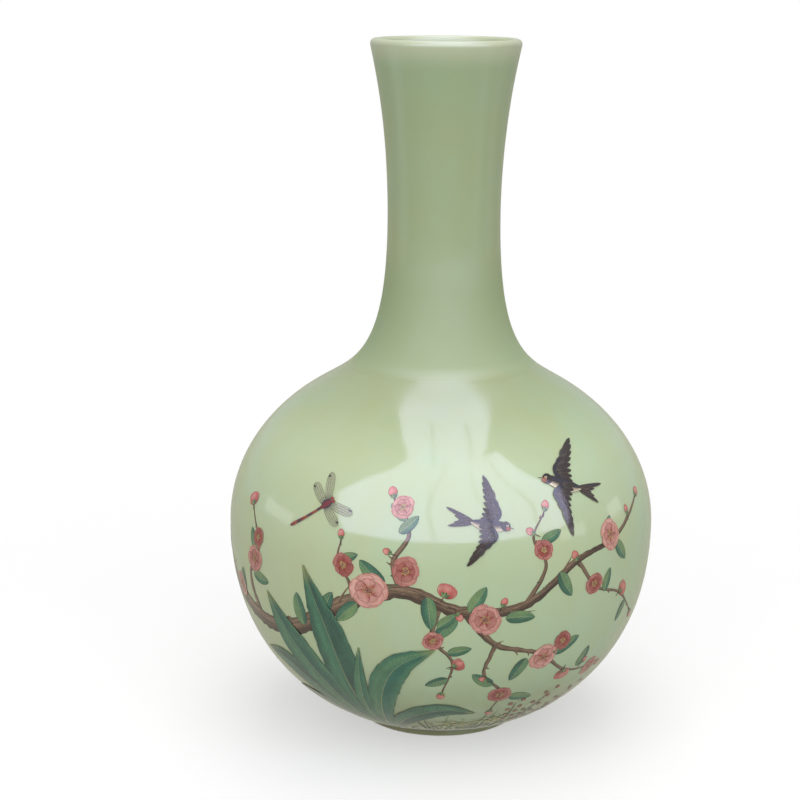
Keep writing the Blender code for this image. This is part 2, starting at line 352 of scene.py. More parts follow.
def rings(profile, longitude):
    """Each (radius, height) of a profile carried round the upright axis, as a grid of points."""
    radius, height = np.asarray(profile, float).T[:, :, None] + np.zeros(len(longitude))
    return np.stack([radius * np.sin(longitude), -radius * np.cos(longitude), height], axis=-1)


def closed_rings(name, grid, material, poles=None):
    """Closed piece from a grid that goes all the way round.

    Without poles its last row joins its first. With poles, two heights on the axis, a fan closes
    each end. Rows run up the outside and down the inside, so that the faces point outwards.
    """
    rows, columns = grid.shape[:2]
    points = grid.reshape(-1, 3)
    faces = grid_faces(rows, columns, wrap=True, loop=poles is None).tolist()
    if poles is not None:
        ring = np.arange(columns)
        after, last = (ring + 1) % columns, (rows - 1) * columns
        start, end = np.full(columns, len(points)), np.full(columns, len(points) + 1)
        faces += np.stack([after, ring, start], axis=-1).tolist()
        faces += np.stack([last + ring, last + after, end], axis=-1).tolist()
        points = np.vstack([points, [[0, 0, height] for height in poles]])
    return new_piece(name, points, faces, material)


def rounded(start, corner, end, steps):
    """Quadratic Bezier curve round a corner: weights (1 - t) squared, 2 t (1 - t) and t squared."""
    t = np.linspace(0, 1, steps + 1)[:, None]
    start, corner, end = (np.asarray(point, float) for point in (start, corner, end))
    return (1 - t) ** 2 * start + 2 * t * (1 - t) * corner + t**2 * end


def even(start, end, step):
    """Numbers from start to end, about a step apart."""
    return np.linspace(start, end, max(1, round(abs(end - start) / step)) + 1)


def glazed_body(outline, material):
    """Coat over the foot, the globe, the neck and the lip, and a little way down inside.

    Its face follows the outline with the thrown ripple, glaze pools in a small fillet at the foot,
    and a half circle rolls over the lip. Its back lies one glaze below, on coarser rows.
    """
    longitude = around(BODY_COLUMNS)
    low = BARE_FOOT + GLAZE / 2
    fillet_end = outline.foot + FOOT_POOL
    foot = [
        rounded((FOOT_RADIUS - GLAZE / 2, BARE_FOOT), (FOOT_RADIUS, BARE_FOOT), (FOOT_RADIUS, low), 3),
        rounded((FOOT_RADIUS, low), (FOOT_RADIUS, FOOT_HEIGHT), outline.at(fillet_end), 8)[1:],
    ]
    outside = even(fillet_end, outline.lip, FACE_STEP)[1:]
    inside = even(outline.lip, outline.lip - LIP_LAP, LAP_STEP)[1:]
    inside = np.insert(inside, -1, inside[-1] + CRISP)
    back = even(outline.lip, outline.where_radius(FOOT_RADIUS - GLAZE, GLAZE), BACK_STEP)[1:]
    rest = [
        outline.lip_arc(0, 14)[1:],
        outline.at(inside, outline.wall(inside)),
        outline.at(inside[::-1], outline.wall(inside[::-1]) - GLAZE),
        outline.lip_arc(GLAZE, 6)[::-1],
        outline.at(back, np.full(len(back), GLAZE)),
        [(FOOT_RADIUS - GLAZE, low)],
    ]
    face = outline.skin(longitude[None, :], outside[:, None])
    foot, rest = rings(np.vstack(foot), longitude), rings(np.vstack(rest), longitude)
    piece = closed_rings("glazed_body", np.concatenate([foot, face, rest]), material)
    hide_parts("outer_glaze")


def lining(outline, material):
    """Coat on the inside of the neck, the globe and its floor, pooled where wall and floor meet."""
    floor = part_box("inner_glaze")[0].z
    top = floor + GLAZE
    places = even(outline.lip - LIP_LAP - SEAM, outline.along[0], LINING_STEP)
    places = np.insert(places, 1, places[0] - CRISP)
    face = outline.at(places, outline.wall(places))
    back = outline.at(places, outline.wall(places) - GLAZE)
    edge = np.interp(top, face[::-1, 1], face[::-1, 0])
    back_edge = np.interp(floor, back[::-1, 1], back[::-1, 0])
    face = face[face[:, 1] > top + POOL]
    back = back[back[:, 1] > floor]
    pool = rounded(face[-1], (edge, top), (edge - POOL, top), 6)[1:]
    flat = even(pool[-1, 0], HUB, FLAT_STEP)[1:]
    under = even(HUB, back_edge, BACK_STEP)
    profile = [
        np.column_stack([under, np.full(len(under), floor)]),
        back[::-1],
        face,
        pool,
        np.column_stack([flat, np.full(len(flat), top)]),
    ]
    grid = rings(np.vstack(profile), around(LINING_COLUMNS))
    piece = closed_rings("lining", grid, material, poles=(floor, top))
    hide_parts("inner_glaze")


def base_coat(material):
    """Coat on the recessed base, with a fillet where it turns down the foot ring's inner wall."""
    wall = FOOT_RADIUS - FOOT_WIDTH - GAP
    top = BASE_RECESS - GAP
    under, inner, low = top - GLAZE, wall - GLAZE, BARE_FOOT + GLAZE / 2
    flat = even(HUB, inner - FOOT_FILLET, FLAT_STEP)
    profile = [
        np.column_stack([flat, np.full(len(flat), under)]),
        rounded((inner - FOOT_FILLET, under), (inner, under), (inner, low), 6)[1:],
        rounded((inner, low), (inner + GLAZE / 2, BARE_FOOT), (wall, low), 4)[1:],
        [(wall, top), (HUB, top)],
    ]
    grid = rings(np.vstack(profile), around(BASE_COLUMNS))
    piece = closed_rings("base_coat", grid, material, poles=(under, top))
    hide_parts("base_glaze")


def standing_foot(material):
    """Bare foot ring with worn, rounded edges where it stands on the table."""
    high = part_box("foot_ring")[1]
    inner, outer, worn = FOOT_RADIUS - FOOT_WIDTH, high.x, WORN_EDGE
    under_slip = BASE_RECESS - GAP - SLIP - GAP
    profile = [
        [(outer, worn + WORN_ROW), (outer, high.z), (inner, under_slip)],
        rounded((inner, worn), (inner, 0), (inner + worn, 0), 6),
        rounded((outer - worn, 0), (outer, 0), (outer, worn), 6),
    ]
    piece = closed_rings("standing_foot", rings(np.vstack(profile), around(FOOT_COLUMNS)), material)
    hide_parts("foot_ring")


class Nodes:
    """A node tree under construction, with short calls for its nodes."""

    def __init__(self, tree):
        self.tree = tree

    def node(self, kind, inputs=(), **settings):
        """New node with its settings, and its inputs given as values or as sockets to join."""
        made = self.tree.nodes.new("ShaderNode" + kind)
        for key, value in settings.items():
            setattr(made, key, value)
        for key, value in dict(inputs).items():
            self.join(made.inputs[key], value)
        return made

    def join(self, socket, value):
        """Gives a socket a value, or joins it to another node's output."""
        if isinstance(value, bpy.types.NodeSocket):
            self.tree.links.new(value, socket)
        elif socket.type == "RGBA" and len(value) == 3:
            socket.default_value = (*value, 1)
        else:
            socket.default_value = value

    def math(self, operation, first, second=0.0):
        """Sum, product or other operation on two numbers."""
        return self.node("Math", {0: first, 1: second}, operation=operation).outputs[0]

    def mix(self, share, first, second, way="MIX"):
        """Colour between two, by a share of the second."""
        inputs = {0: share, 6: first, 7: second}
        return self.node("Mix", inputs, data_type="RGBA", blend_type=way).outputs[2]

    def mix_surfaces(self, share, first, second):
        """Surface between those of two nodes, by a share of the second."""
        return self.node("MixShader", {0: share, 1: first.outputs[0], 2: second.outputs[0]})

    def ramp(self, value, low, high, to_low=0.0, to_high=1.0):
        """A value rescaled from one range to another with soft ends, and held there."""
        inputs = {"Value": value, "From Min": low, "From Max": high, "To Min": to_low, "To Max": to_high}
        return self.node("MapRange", inputs, interpolation_type="SMOOTHSTEP").outputs[0]

    def sees_white(self):
        """1 for camera, glossy and transmission rays, which see the white backdrop, and 0 for others."""
        ray = self.node("LightPath").outputs
        share = self.math("MAXIMUM", ray["Is Camera Ray"], ray["Is Glossy Ray"])
        return self.math("MAXIMUM", share, ray["Is Transmission Ray"])


class Finish(Nodes):
    """One material under construction."""

    def __init__(self, name):
        self.material = bpy.data.materials.new(name)
        self.material.use_nodes = True
        super().__init__(self.material.node_tree)
        self.shader = self.tree.nodes["Principled BSDF"]

    def place(self):
        """Object coordinates, in metres."""
        return self.node("TexCoord").outputs["Object"]

    def along(self, axis):
        """Object coordinate along one axis."""
        return self.node("SeparateXYZ", {"Vector": self.place()}).outputs[axis]

    def noise(self, scale, detail=3.0, roughness=0.5, stretch=(1, 1, 1), shift=(0, 0, 0)):
        """Smooth noise from 0 to 1 on object coordinates, with that many features per metre."""
        spot = self.node("Mapping", {"Vector": self.place(), "Scale": stretch, "Location": shift})
        inputs = {"Vector": spot.outputs[0], "Scale": scale, "Detail": detail, "Roughness": roughness}
        return self.node("TexNoise", inputs).outputs["Fac"]

    def bump(self, height, distance):
        """Relief from a height between 0 and 1, that many metres deep."""
        relief = self.node("Bump", {"Height": height, "Distance": distance, "Strength": 1.0})
        self.join(self.shader.inputs["Normal"], relief.outputs["Normal"])

    def show(self, surface):
        """Takes another node's surface in place of the principled one."""
        self.join(self.tree.nodes["Material Output"].inputs["Surface"], surface.outputs[0])

    def finish(self, colour, roughness, **sockets):
        """Joins the colour and roughness, sets the shader's other sockets, and gives the material."""
        self.join(self.shader.inputs["Base Color"], colour)
        self.join(self.shader.inputs["Roughness"], roughness)
        for key, value in sockets.items():
            self.join(self.shader.inputs[key], value)
        return self.material


def shared(name, make, *settings):
    """The material of that name, which is made the first time that it is asked for."""
    return bpy.data.materials.get(name) or make(Finish(name), *settings)


GLASSY_IOR = 1.8  # a lead glaze mirrors about twice as much as window glass
CLAY_IOR = 1.5
PITS_PER_METRE = 700  # fine unevenness of the glaze and the enamel
PIT_DEPTH = 0.02 * MM
SATIN = 0.235  # roughness of the glaze where the shoulder ends
# Heights at which a change in the glaze starts and is complete
# Pooled glaze with painted shade, down to the foot
POOL_AND_SHADE_FROM = (0.065, 0.0)
# Painted shade over the neck
NECK_SHADE_FROM = (0.150, 0.188)
SATIN_FROM = (0.171, 0.186)
NECK_FROM = (0.186, 0.190)
# The neck's root, with painted shade and dull glaze, between these heights
ROOT_FROM = (0.186, 0.194)
ROOT_TO = (0.226, 0.250)
THIN_FROM = (0.335, 0.3495)


def celadon_material(glaze, colours):
    """Celadon glaze: patches of mint and olive, thin over the lip, pooled towards the foot, and painted shade
    there, over the neck and at its root.
    """
    height = glaze.along("Z")
    broad = glaze.ramp(glaze.noise(7, 2), 0.35, 0.65)
    mottled = glaze.ramp(glaze.noise(42, 4, 0.6, (1, 1, 0.6)), 0.3, 0.7, 0, 0.5)
    cool = glaze.ramp(glaze.noise(26, 3, 0.6, (1, 1, 0.5), (3, 1, 2)), 0.5, 0.7, 0, 0.55)
    root_shade_and_dullness = glaze.math("SUBTRACT", glaze.ramp(height, *ROOT_FROM), glaze.ramp(height, *ROOT_TO))
    colour = glaze.mix(broad, colours.celadon, colours.mint)
    colour = glaze.mix(mottled, colour, colours.olive)
    # Pooled glaze towards the foot, with painted shade under the globe
    colour = glaze.mix(glaze.ramp(height, *POOL_AND_SHADE_FROM, 0, 0.9), colour, colours.pooled)
    colour = glaze.mix(cool, colour, colours.mint)
    # Painted shade that darkens the neck
    colour = glaze.mix(glaze.ramp(height, *NECK_SHADE_FROM), colour, colours.neck_shade, "MULTIPLY")
    # Painted shade that darkens the neck's root a little more
    colour = glaze.mix(root_shade_and_dullness, colour, colours.root, "MULTIPLY")
    colour = glaze.mix(glaze.ramp(height, *THIN_FROM, 0, 0.8), colour, colours.thin)
    glaze.bump(glaze.noise(PITS_PER_METRE, 2), PIT_DEPTH)
    return glaze.finish(colour, celadon_roughness(glaze, height, root_shade_and_dullness, colours), IOR=GLASSY_IOR)


def celadon_roughness(glaze, height, root_shade_and_dullness, colours):
    """Roughness that rises from the globe to the neck, is highest at the neck's root, and varies a little."""
    satin = glaze.ramp(height, *SATIN_FROM, colours.roughness, SATIN)
    gloss = glaze.math("ADD", satin, glaze.ramp(height, *NECK_FROM, 0, colours.neck_roughness - SATIN))
    dull = glaze.math("MULTIPLY", root_shade_and_dullness, colours.root_roughness - colours.neck_roughness)
    uneven = glaze.ramp(glaze.noise(60), 0.2, 0.8, 0, 0.03)
    return glaze.math("ADD", glaze.math("ADD", gloss, dull), uneven)


def biscuit_material(clay, colours):
    """Bare porcelain: fine grain, toasted patches and iron specks."""
    grain = clay.noise(900, 4, 0.7)
    warm = clay.ramp(clay.noise(30, 3), 0.35, 0.75, 0, 0.7)
    colour = clay.mix(warm, colours.biscuit, colours.toasted)
    specks = clay.ramp(clay.noise(1500, 1), 0.72, 0.78, 0, 0.6)
    colour = clay.mix(specks, colour, colours.toasted)
    clay.bump(grain, 0.15 * MM)
    return clay.finish(colour, clay.ramp(grain, 0.2, 0.8, 0.62, 0.82), IOR=CLAY_IOR)


def slip_material(paste, colours):
    """Slip: clay paste with coarse, brushed streaks round the joint."""
    streaks = paste.noise(260, 4, 0.6, (1, 1, 5))
    colour = paste.mix(paste.ramp(streaks, 0.3, 0.7), colours.slip, colours.biscuit)
    paste.bump(streaks, 0.3 * MM)
    return paste.finish(colour, paste.ramp(streaks, 0.2, 0.8, 0.75, 0.9), IOR=CLAY_IOR)


def enamel_material(enamel):
    """Enamel as glossy as the glaze round it: the strokes' own colours, a little uneven."""
    painted = enamel.node("VertexColor", layer_name="enamel")
    brushed = enamel.ramp(enamel.noise(480, 3, 0.6), 0.3, 0.7, 0.0, 0.28)
    colour = enamel.mix(brushed, painted.outputs["Color"], (0.52, 0.52, 0.48), "MULTIPLY")
    enamel.join(enamel.shader.inputs["Alpha"], painted.outputs["Alpha"])
    enamel.bump(enamel.noise(PITS_PER_METRE, 2), PIT_DEPTH)
    return enamel.finish(colour, enamel.ramp(brushed, 0, 0.28, 0.08, 0.12), IOR=GLASSY_IOR)


# The strokes of enamel, in millimetres unless a comment says otherwise
FIRST_LIFT = 0.03  # off the glaze
TIER_LIFT = 0.08  # from one piece of the painting to the next
RANK_LIFT = 0.006  # from one stroke to the next
THINNEST = 0.02
CELL = 1.0
WOBBLE_STEP = 2.5  # between the random values that make a side uneven
STREAK_STEP = 4  # between those that streak the colour
EDGE_STEP = 2
EDGE_LINE = 0.1
EDGE_SHARE = 0.97  # where a stroke's edge is drawn, as a share of its half width
FINE_SOFT = 0.12
SOFT_SHARES = (0.15, 0.3)  # most of a stroke's length and of its width that its soft rim takes
HEADING_STEP = 0.02  # rows to each side of a place between which a line's heading is read
GRAIN_LIMITS = (0.3, 1.8)  # least and most that the grain multiplies a colour by
BLADE_ROWS = 9
ATLAS_GAP = 0.6
ATLAS_ROOM = (1.15, 1.02)  # side of the map as shares of its strokes' area's root and of the longest one


def smooth(controls, place):
    """Catmull-Rom curve through rows of numbers, read at places counted in rows.

    Each stretch is a cubic whose slope at a row is half the difference of the rows beside it.
    """
    rows = np.vstack([2 * controls[0] - controls[1], controls, 2 * controls[-1] - controls[-2]])
    i = np.clip(place.astype(int), 0, len(controls) - 2)
    f = (place - i)[:, None]
    a, b, c, d = (rows[i + k] for k in range(4))
    return b + 0.5 * f * (c - a + f * (2 * a - 5 * b + 4 * c - d + f * (3 * b - 3 * c + d - a)))


def framed(count, margin):
    """Numbers from 0 to 1: the two ends, and even steps between a margin inside them."""
    return np.concatenate([[0], np.linspace(margin, 1 - margin, count), [1]])


def spread(values, t, s):
    """A small grid of values read bilinearly at all pairs of t, down its rows, and s, across them."""
    grid = np.asarray(values, float)
    down, across = t * (len(grid) - 1), s * (grid.shape[1] - 1)
    i, j = down.astype(int), across.astype(int)
    i2, j2 = np.minimum(i + 1, len(grid) - 1), np.minimum(j + 1, grid.shape[1] - 1)
    f, g = (down - i)[:, None, None], (across - j)[None, :, None]
    near = grid[i][:, j] * (1 - g) + grid[i][:, j2] * g
    far = grid[i2][:, j] * (1 - g) + grid[i2][:, j2] * g
    return near * (1 - f) + far * f


def blend(first, second, share=0.5):
    """A colour between two."""
    return np.asarray(first[:3]) * (1 - share) + np.asarray(second[:3]) * share


def blade(reach, wide, skew=1.0, point=1.0):
    """Rows of u, v and half width of a petal or leaf that starts at 0 and lies along u.

    The half width is a power of the sine of half a turn: the higher the power, the sharper the
    tip, and the higher the skew, the nearer the tip it is widest.
    """
    t = np.linspace(0, 1, BLADE_ROWS)
    half = wide / 2 * np.abs(np.sin(math.pi * t**skew)) ** point
    return np.column_stack([reach * (1 - np.cos(math.pi * t)) / 2, 0 * t, half])


def turned(rows, turn=0.0, size=1.0, lean=1.0, shift=(0.0, 0.0)):
    """Rows of u, v and half width sized, foreshortened along v, turned and shifted.

    A turn takes u to u cos - v sin, and v to u sin + v cos.
    """
    rows = np.asarray(rows, float) * size
    u, v = rows[:, 0], rows[:, 1] * lean
    across, up = u * math.cos(turn) - v * math.sin(turn), u * math.sin(turn) + v * math.cos(turn)
    return np.column_stack([across + shift[0], up + shift[1], rows[:, 2:]])


class Canvas:
    """Strokes of enamel for one piece of the painting.

    Places are in millimetres: x to the right of the front, as longitude times the belly's radius,
    and y along the outline above the widest circle. Half widths are true millimetres.
    """

    def __init__(self, outline, seed, tier):
        self.outline = outline
        self.belly = float(outline.radius(0.0)) / MM
        self.chance = np.random.default_rng(seed)
        self.bed = self.lift = FIRST_LIFT + tier * TIER_LIFT
        self.sheets = []

    def start(self, rank=0):
        """Begins a motif on the bed, or so many ranks above it where it lies over others."""
        self.lift = self.bed + rank * RANK_LIFT

    def squeeze(self, y):
        """Radius at a place as a share of the belly's."""
        return self.outline.radius(y * MM) / MM / self.belly

    def on(self, centre, rows):
        """Rows in flat millimetres round a centre as rows of places on the canvas."""
        y = centre[1] + rows[:, 1]
        return np.column_stack([centre[0] + rows[:, 0] / self.squeeze(y), y, rows[:, 2:]])

    def course(self, controls, t):
        """A smooth line at shares of its length: places, half widths, its left side, and its length."""
        spans = np.diff(controls[:, :2], axis=0)
        spans[:, 0] *= self.squeeze((controls[1:, 1] + controls[:-1, 1]) / 2)
        knots = np.concatenate([[0], np.cumsum(np.hypot(*spans.T))])
        place = np.interp(np.asarray(t) * knots[-1], knots, np.arange(len(knots)))
        x, y, half = smooth(controls, place).T
        before, after = (smooth(controls, place + step) for step in (-HEADING_STEP, HEADING_STEP))
        run, rise = (after - before)[:, :2].T
        squeeze = self.squeeze(y)
        size = np.hypot(run * squeeze, rise)
        left = np.column_stack([-rise / size / squeeze, run * squeeze / size])
        return np.column_stack([x, y]), np.maximum(half, THINNEST), left, knots[-1]

    def beside(self, controls, t, share):
        """Places at shares of a line's length and, to its left, of its half width."""
        middle, half, left, _ = self.course(np.asarray(controls, float), t)
        return middle + left * (half * share)[:, None]

    def stroke(self, controls, paint, soft=0.25, rough=0.0, grain=0.0, edge=None):
        """Brush stroke along a smooth line through rows of x, y and half width.

        Paint is a small grid of colours, down its rows along the stroke and across them from its
        right side to its left. The rim fades out over the soft width. Rough makes the sides
        uneven, grain streaks the colour, and edge is the colour of a fine line round it.
        """
        controls = np.asarray(controls, float)
        wide = 2 * controls[:, 2].max()
        reach = self.course(controls, [0.0])[3]
        t = framed(max(3, round(reach / CELL)), min(soft / reach, SOFT_SHARES[0]))
        s = framed(max(2, round(wide / CELL)), min(soft / wide, SOFT_SHARES[1]))
        middle, half, left, _ = self.course(controls, t)
        wobble = self.chance.normal(0, rough, (max(2, round(reach / WOBBLE_STEP)), 2, 1))
        side = half[:, None] * (2 * s - 1) * (1 + spread(wobble, t, s)[..., 0])
        places = middle[:, None, :] + left[:, None, :] * side[..., None]
        colour = np.ones((len(t), len(s), 4))
        painted = spread([[tuple(each) for each in row] for row in paint], t, s)
        colour[..., : painted.shape[-1]] = painted
        streaks = self.chance.normal(0, grain, (max(2, round(reach / STREAK_STEP)), len(s) + 1, 1))
        colour[..., :3] *= np.clip(1 + spread(streaks, t, s), *GRAIN_LIMITS)
        colour[[0, -1], :, 3] = 0
        colour[:, [0, -1], 3] = 0
        self.sheets.append((places, colour, self.lift, t * reach, s * wide))
        self.lift += RANK_LIFT
        if edge is not None:
            round_it = np.linspace(0, 1, max(4, round(reach / EDGE_STEP)))
            for share in (-EDGE_SHARE, EDGE_SHARE):
                self.vein(controls, round_it, share, EDGE_LINE, edge)

    def line(self, places, half, colour):
        """Fine brush line through places, thinner towards its ends, half a rank over the last stroke."""
        lift = self.lift
        self.lift -= RANK_LIFT / 2
        swell = half * (0.5 + 0.5 * np.sin(np.linspace(0, math.pi, len(places))))
        self.stroke(np.column_stack([places[:, :2], swell]), [[colour]], soft=FINE_SOFT)
        self.lift = lift

    def vein(self, controls, t, share, half, colour):
        """Fine line at shares of a stroke's length and, to its left, of its half width."""
        self.line(self.beside(controls, t, share), half, colour)

    def dot(self, centre, radius, colour, lean=1.0, edge=None):
        """Round dab: a short stroke as wide as it is long."""
        rows = turned(blade(2 * radius, 2 * radius * lean), shift=(-radius, 0))
        self.stroke(self.on(centre, rows), [[colour]], soft=0.2, edge=edge)

    def atlas(self):
        """Lower left corner of each stroke's own rectangle in the UV map, and the map's side.

        The rectangles stand on shelves, the widest strokes first.
        """
        sizes = np.array([(along[-1], across[-1]) for *_, along, across in self.sheets]) + ATLAS_GAP
        by_area, by_reach = ATLAS_ROOM
        side = max(math.sqrt(sizes.prod(axis=1).sum()) * by_area, sizes.max() * by_reach)
        corners = np.zeros_like(sizes)
        right = shelf = height = 0.0
        for index in np.argsort(-sizes[:, 1]):
            wide, high = sizes[index]
            if right + wide > side:
                right, shelf, height = 0.0, shelf + height, 0.0
            corners[index] = right, shelf
            right, height = right + wide, max(height, high)
        return corners, max(side, shelf + height)

    def make(self, name, material):
        """The strokes as one piece, each a little farther off the glaze than those under it."""
        corners, side = self.atlas()
        points, faces, colours, charts, first = [], [], [], [], 0
        for (places, colour, lift, along, across), corner in zip(self.sheets, corners):
            rows, columns = places.shape[:2]
            skin = self.outline.skin(places[..., 0] / self.belly, places[..., 1] * MM, lift * MM)
            points.append(skin.reshape(-1, 3))
            faces.append(grid_faces(rows, columns, first)[:, ::-1])
            colours.append(colour.reshape(-1, 4))
            chart = np.stack(np.broadcast_arrays(along[:, None], across[None, :]), axis=-1)
            charts.append((chart.reshape(-1, 2) + corner) / side)
            first += rows * columns
        piece = new_piece(name, np.vstack(points), np.vstack(faces).tolist(), material)
        layer = piece.data.color_attributes.new("enamel", "FLOAT_COLOR", "POINT")
        layer.data.foreach_set("color", np.vstack(colours).astype(np.float32).ravel())
        owner = np.empty(len(piece.data.loops), np.int32)
        piece.data.loops.foreach_get("vertex_index", owner)
        chart = np.vstack(charts).astype(np.float32)[owner]
        piece.data.uv_layers.new(name="OFBake").data.foreach_set("uv", chart.ravel())


# Shapes of the motifs, in millimetres, radians and shares
LEAF_VEIN = np.array([(0, 0.07, 0.13), (0, 0.45, 0.85)])  # along the leaf, and out to its side
BROAD_VEIN = np.array([(0, 0.03, 0.05), (0, 0.5, 0.92)])
BROAD_VEIN_STEP = 2.4
LEAF_FOLDS = (0.75, 0.45, -0.1, -0.2, 0.9, 1.25, 0.55, 0.05)  # lightness across a broad leaf
STAMENS = 18
GOLDEN_TURN = 2.4  # radians, which spread the stamens evenly
STAMEN_RANK = 13  # over the eleven petals and the heart
SWALLOW_TAIL = ((2.86, 15), (3.02, 10), (3.2, 8), (3.34, 10), (3.48, 13))  # heading and reach
SWALLOW_BODY = ((-7, 0.2, 0.7), (-3, -0.1, 2.2), (2, 0, 3.0), (6, 0.5, 2.6), (9, 1.0, 2.0), (10.6, 1.1, 0.9))
# Crown, throat, eye and the beak's two ends
SWALLOW_HEAD = ((9.7, 1.2, 0), (11.2, 0.3, 0), (10.5, 1.6, 0), (11.6, 1.1, 0), (14.0, 0.7, 0))
FAR_WING = (((3.2, 1.4), (6.0, 6.5), (2.2, 12.5)), (3.3, 2.15), (6, 13))  # bone, headings and reaches
NEAR_WING = (((2.6, -0.2), (6.4, -4.8), (2.0, -10.5)), (3.0, 4.15), (6, 12))
SAILS = ((2.4, 1.15, 16), (0.6, 1.6, 14.5), (2.4, -1.05, 15), (0.6, -1.5, 14))  # root, heading and reach
DRAGON_TAIL = ((1, 0, 0.9), (-3, 0, 0.6), (-10, 0.5, 0.65), (-17, 1.6, 0.8), (-19, 2, 0.3))
DRAGON_CHEST = ((-1, 0, 0.7), (1.4, 0, 1.9), (4.2, 0, 0.9))
CANE_SWELL = (1.15, 0.95, 0.92, 0.95, 1.15)  # width from joint to joint


def bark_lines(canvas, c, controls, count):
    """Short uneven lines along a branch."""
    pick = canvas.chance.uniform
    for _ in range(count):
        start, share = pick(0, 0.9), pick(-0.85, 0.7)
        t = np.linspace(start, min(start + pick(0.02, 0.09), 1), 5)
        drift = share + canvas.chance.normal(0, 0.1, 5)
        canvas.vein(controls, t, drift, 0.17, blend(c.ink, c.umber, pick(0, 0.6)))


def bark_spurs(canvas, c, controls, count, rank):
    """Short thorny shoots at the sides of a branch, each from its root over a shoulder to its tip."""
    pick = canvas.chance.uniform
    for _ in range(count):
        t, side = pick(0.04, 0.96), canvas.chance.choice([-1, 1])
        root, shoulder = canvas.beside(controls, [t, min(t + 0.012, 1)], np.array([0.3, 1.25]) * side)
        tip = canvas.beside(controls, [min(t + pick(0.015, 0.03), 1)], 2.4 * side)[0]
        canvas.start(rank)
        rows = np.column_stack([[root, shoulder, tip], [0.9, 0.5, 0.1]])
        canvas.stroke(rows, [[c.umber, c.bark]], soft=0.2)


def bark_knots(canvas, c, controls, count):
    """Knots in the bark: each two rings, which are ellipses left open by the last of the turn."""
    pick = canvas.chance.uniform
    for _ in range(count):
        spot = canvas.beside(controls, [pick(0.05, 0.7)], pick(-0.3, 0.3))[0]
        turn = np.linspace(0, 5.6, 9)
        ring = np.column_stack([1.5 * np.cos(turn), 1.1 * np.sin(turn), turn])
        canvas.line(canvas.on(spot, ring), 0.2, c.ink)
        canvas.line(canvas.on(spot, ring * 0.45), 0.16, c.ink)


def moss_dots(canvas, c, controls, count, rank):
    """Dabs of green on the upper side of a branch."""
    pick = canvas.chance.uniform
    for _ in range(count):
        spot = canvas.beside(controls, [pick(0, 0.95)], pick(0.5, 1.1))[0]
        tone = blend(c.leaf, c.deep, pick(0, 1))
        canvas.start(rank)
        canvas.dot(spot, pick(0.3, 0.75), tone, lean=0.8)


def branch(canvas, c, controls, bark, spurs, knots, moss, rank=0):
    """Woody branch, shaded below and lit above, with so many bark lines, spurs, knots and moss dabs."""
    controls = np.asarray(controls, float)
    canvas.start(rank)
    paint = [[blend(c.umber, c.ink), c.umber, blend(c.bark, c.umber, 0.3), c.bark, c.umber]]
    canvas.stroke(controls, paint, soft=0.3, rough=0.1, grain=0.18)
    bark_lines(canvas, c, controls, bark)
    bark_spurs(canvas, c, controls, spurs, rank + 1)
    canvas.start(rank + 2)
    bark_knots(canvas, c, controls, knots)
    moss_dots(canvas, c, controls, moss, rank + 1)


def leaf(canvas, c, foot, turn, reach, age, bend, rank):
    """Pointed oval leaf: two halves in two greens, a pale midrib and fine side veins.

    The midrib bends sideways as the square of the distance along it.
    """
    canvas.start(rank)
    rows = blade(reach, reach * 0.45, skew=0.85, point=1.2)
    rows[:, 1] = bend * rows[:, 0] ** 2 / reach
    rows = canvas.on(foot, turned(rows, turn))
    dark = blend(c.teal, c.deep, 0.2 + 0.6 * age)
    middle, light = blend(c.leaf, c.teal, age), blend(c.moss, c.leaf, 0.25 + 0.6 * age)
    paint = [[dark, dark, light, middle], [dark, middle, light, light], [middle, dark, middle, light]]
    canvas.stroke(rows, paint, grain=0.12, edge=blend(c.deep, c.ink, 0.4))
    canvas.vein(rows, np.linspace(0, 0.97, 7), 0.0, 0.13, blend(c.moss, c.cream, 0.4))
    onward, outward = LEAF_VEIN
    for t in np.linspace(0.14, 0.78, 6):
        for side in (-1, 1):
            canvas.vein(rows, t + onward, side * outward, 0.06, blend(c.deep, c.teal, 0.3))


def petal(canvas, c, rows, tone):
    """Veined petal: crimson at its base, pale beyond it, and rosy at the corners of its rim."""
    dark = blend(c.rose, c.crimson, min(0.4 + tone, 1))
    light = blend(c.blush, dark, min(tone + canvas.chance.uniform(0, 0.25), 0.9))
    rim = [c.rose, light, c.rose]
    paint = [[c.crimson] * 3, [dark] * 3, [dark, light, dark], [light] * 3, [light] * 3, rim]
    canvas.stroke(rows, paint, soft=0.2, grain=0.06, edge=blend(c.crimson, c.ink, 0.25))
    for share in (-0.45, 0.0, 0.45):
        canvas.vein(rows, np.linspace(0.12, 0.7, 4), share, 0.06, blend(c.rose, c.crimson))


def stamens(canvas, c, seat, rank):
    """Tuft of fine stamens, each a golden turn from the last, with pollen at its tip."""
    for angle in np.arange(STAMENS) * GOLDEN_TURN:
        reach = 0.16 + 0.16 * canvas.chance.random()
        tip = np.array([math.cos(angle), math.sin(angle), 0]) * reach
        canvas.start(rank)
        canvas.line(seat(np.vstack([tip * 0.2, tip])), 0.07, c.cream)
        canvas.dot(seat(tip[None])[0], 0.3, blend(c.yellow, c.rust, 0.2))


def blossom(canvas, c, centre, radius, turn, depth, rank):
    """Open blossom: two rings of petals round a dark heart with a tuft of stamens.

    The greater the depth, the redder the petals.
    """
    canvas.start(rank)

    def seat(rows):
        return canvas.on(centre, turned(rows, turn, radius, lean=0.85))

    for count, reach, tone in ((6, 1.0, depth), (5, 0.72, depth + 0.2)):
        for number in range(count):
            angle = math.tau * (number + canvas.chance.uniform(-0.12, 0.12)) / count + count
            petal(canvas, c, seat(turned(blade(reach, reach * 1.02, skew=1.3, point=0.7), angle)), tone)
    canvas.dot(centre, radius * 0.14, blend(c.crimson, c.ink, 0.3))
    stamens(canvas, c, seat, rank + STAMEN_RANK)


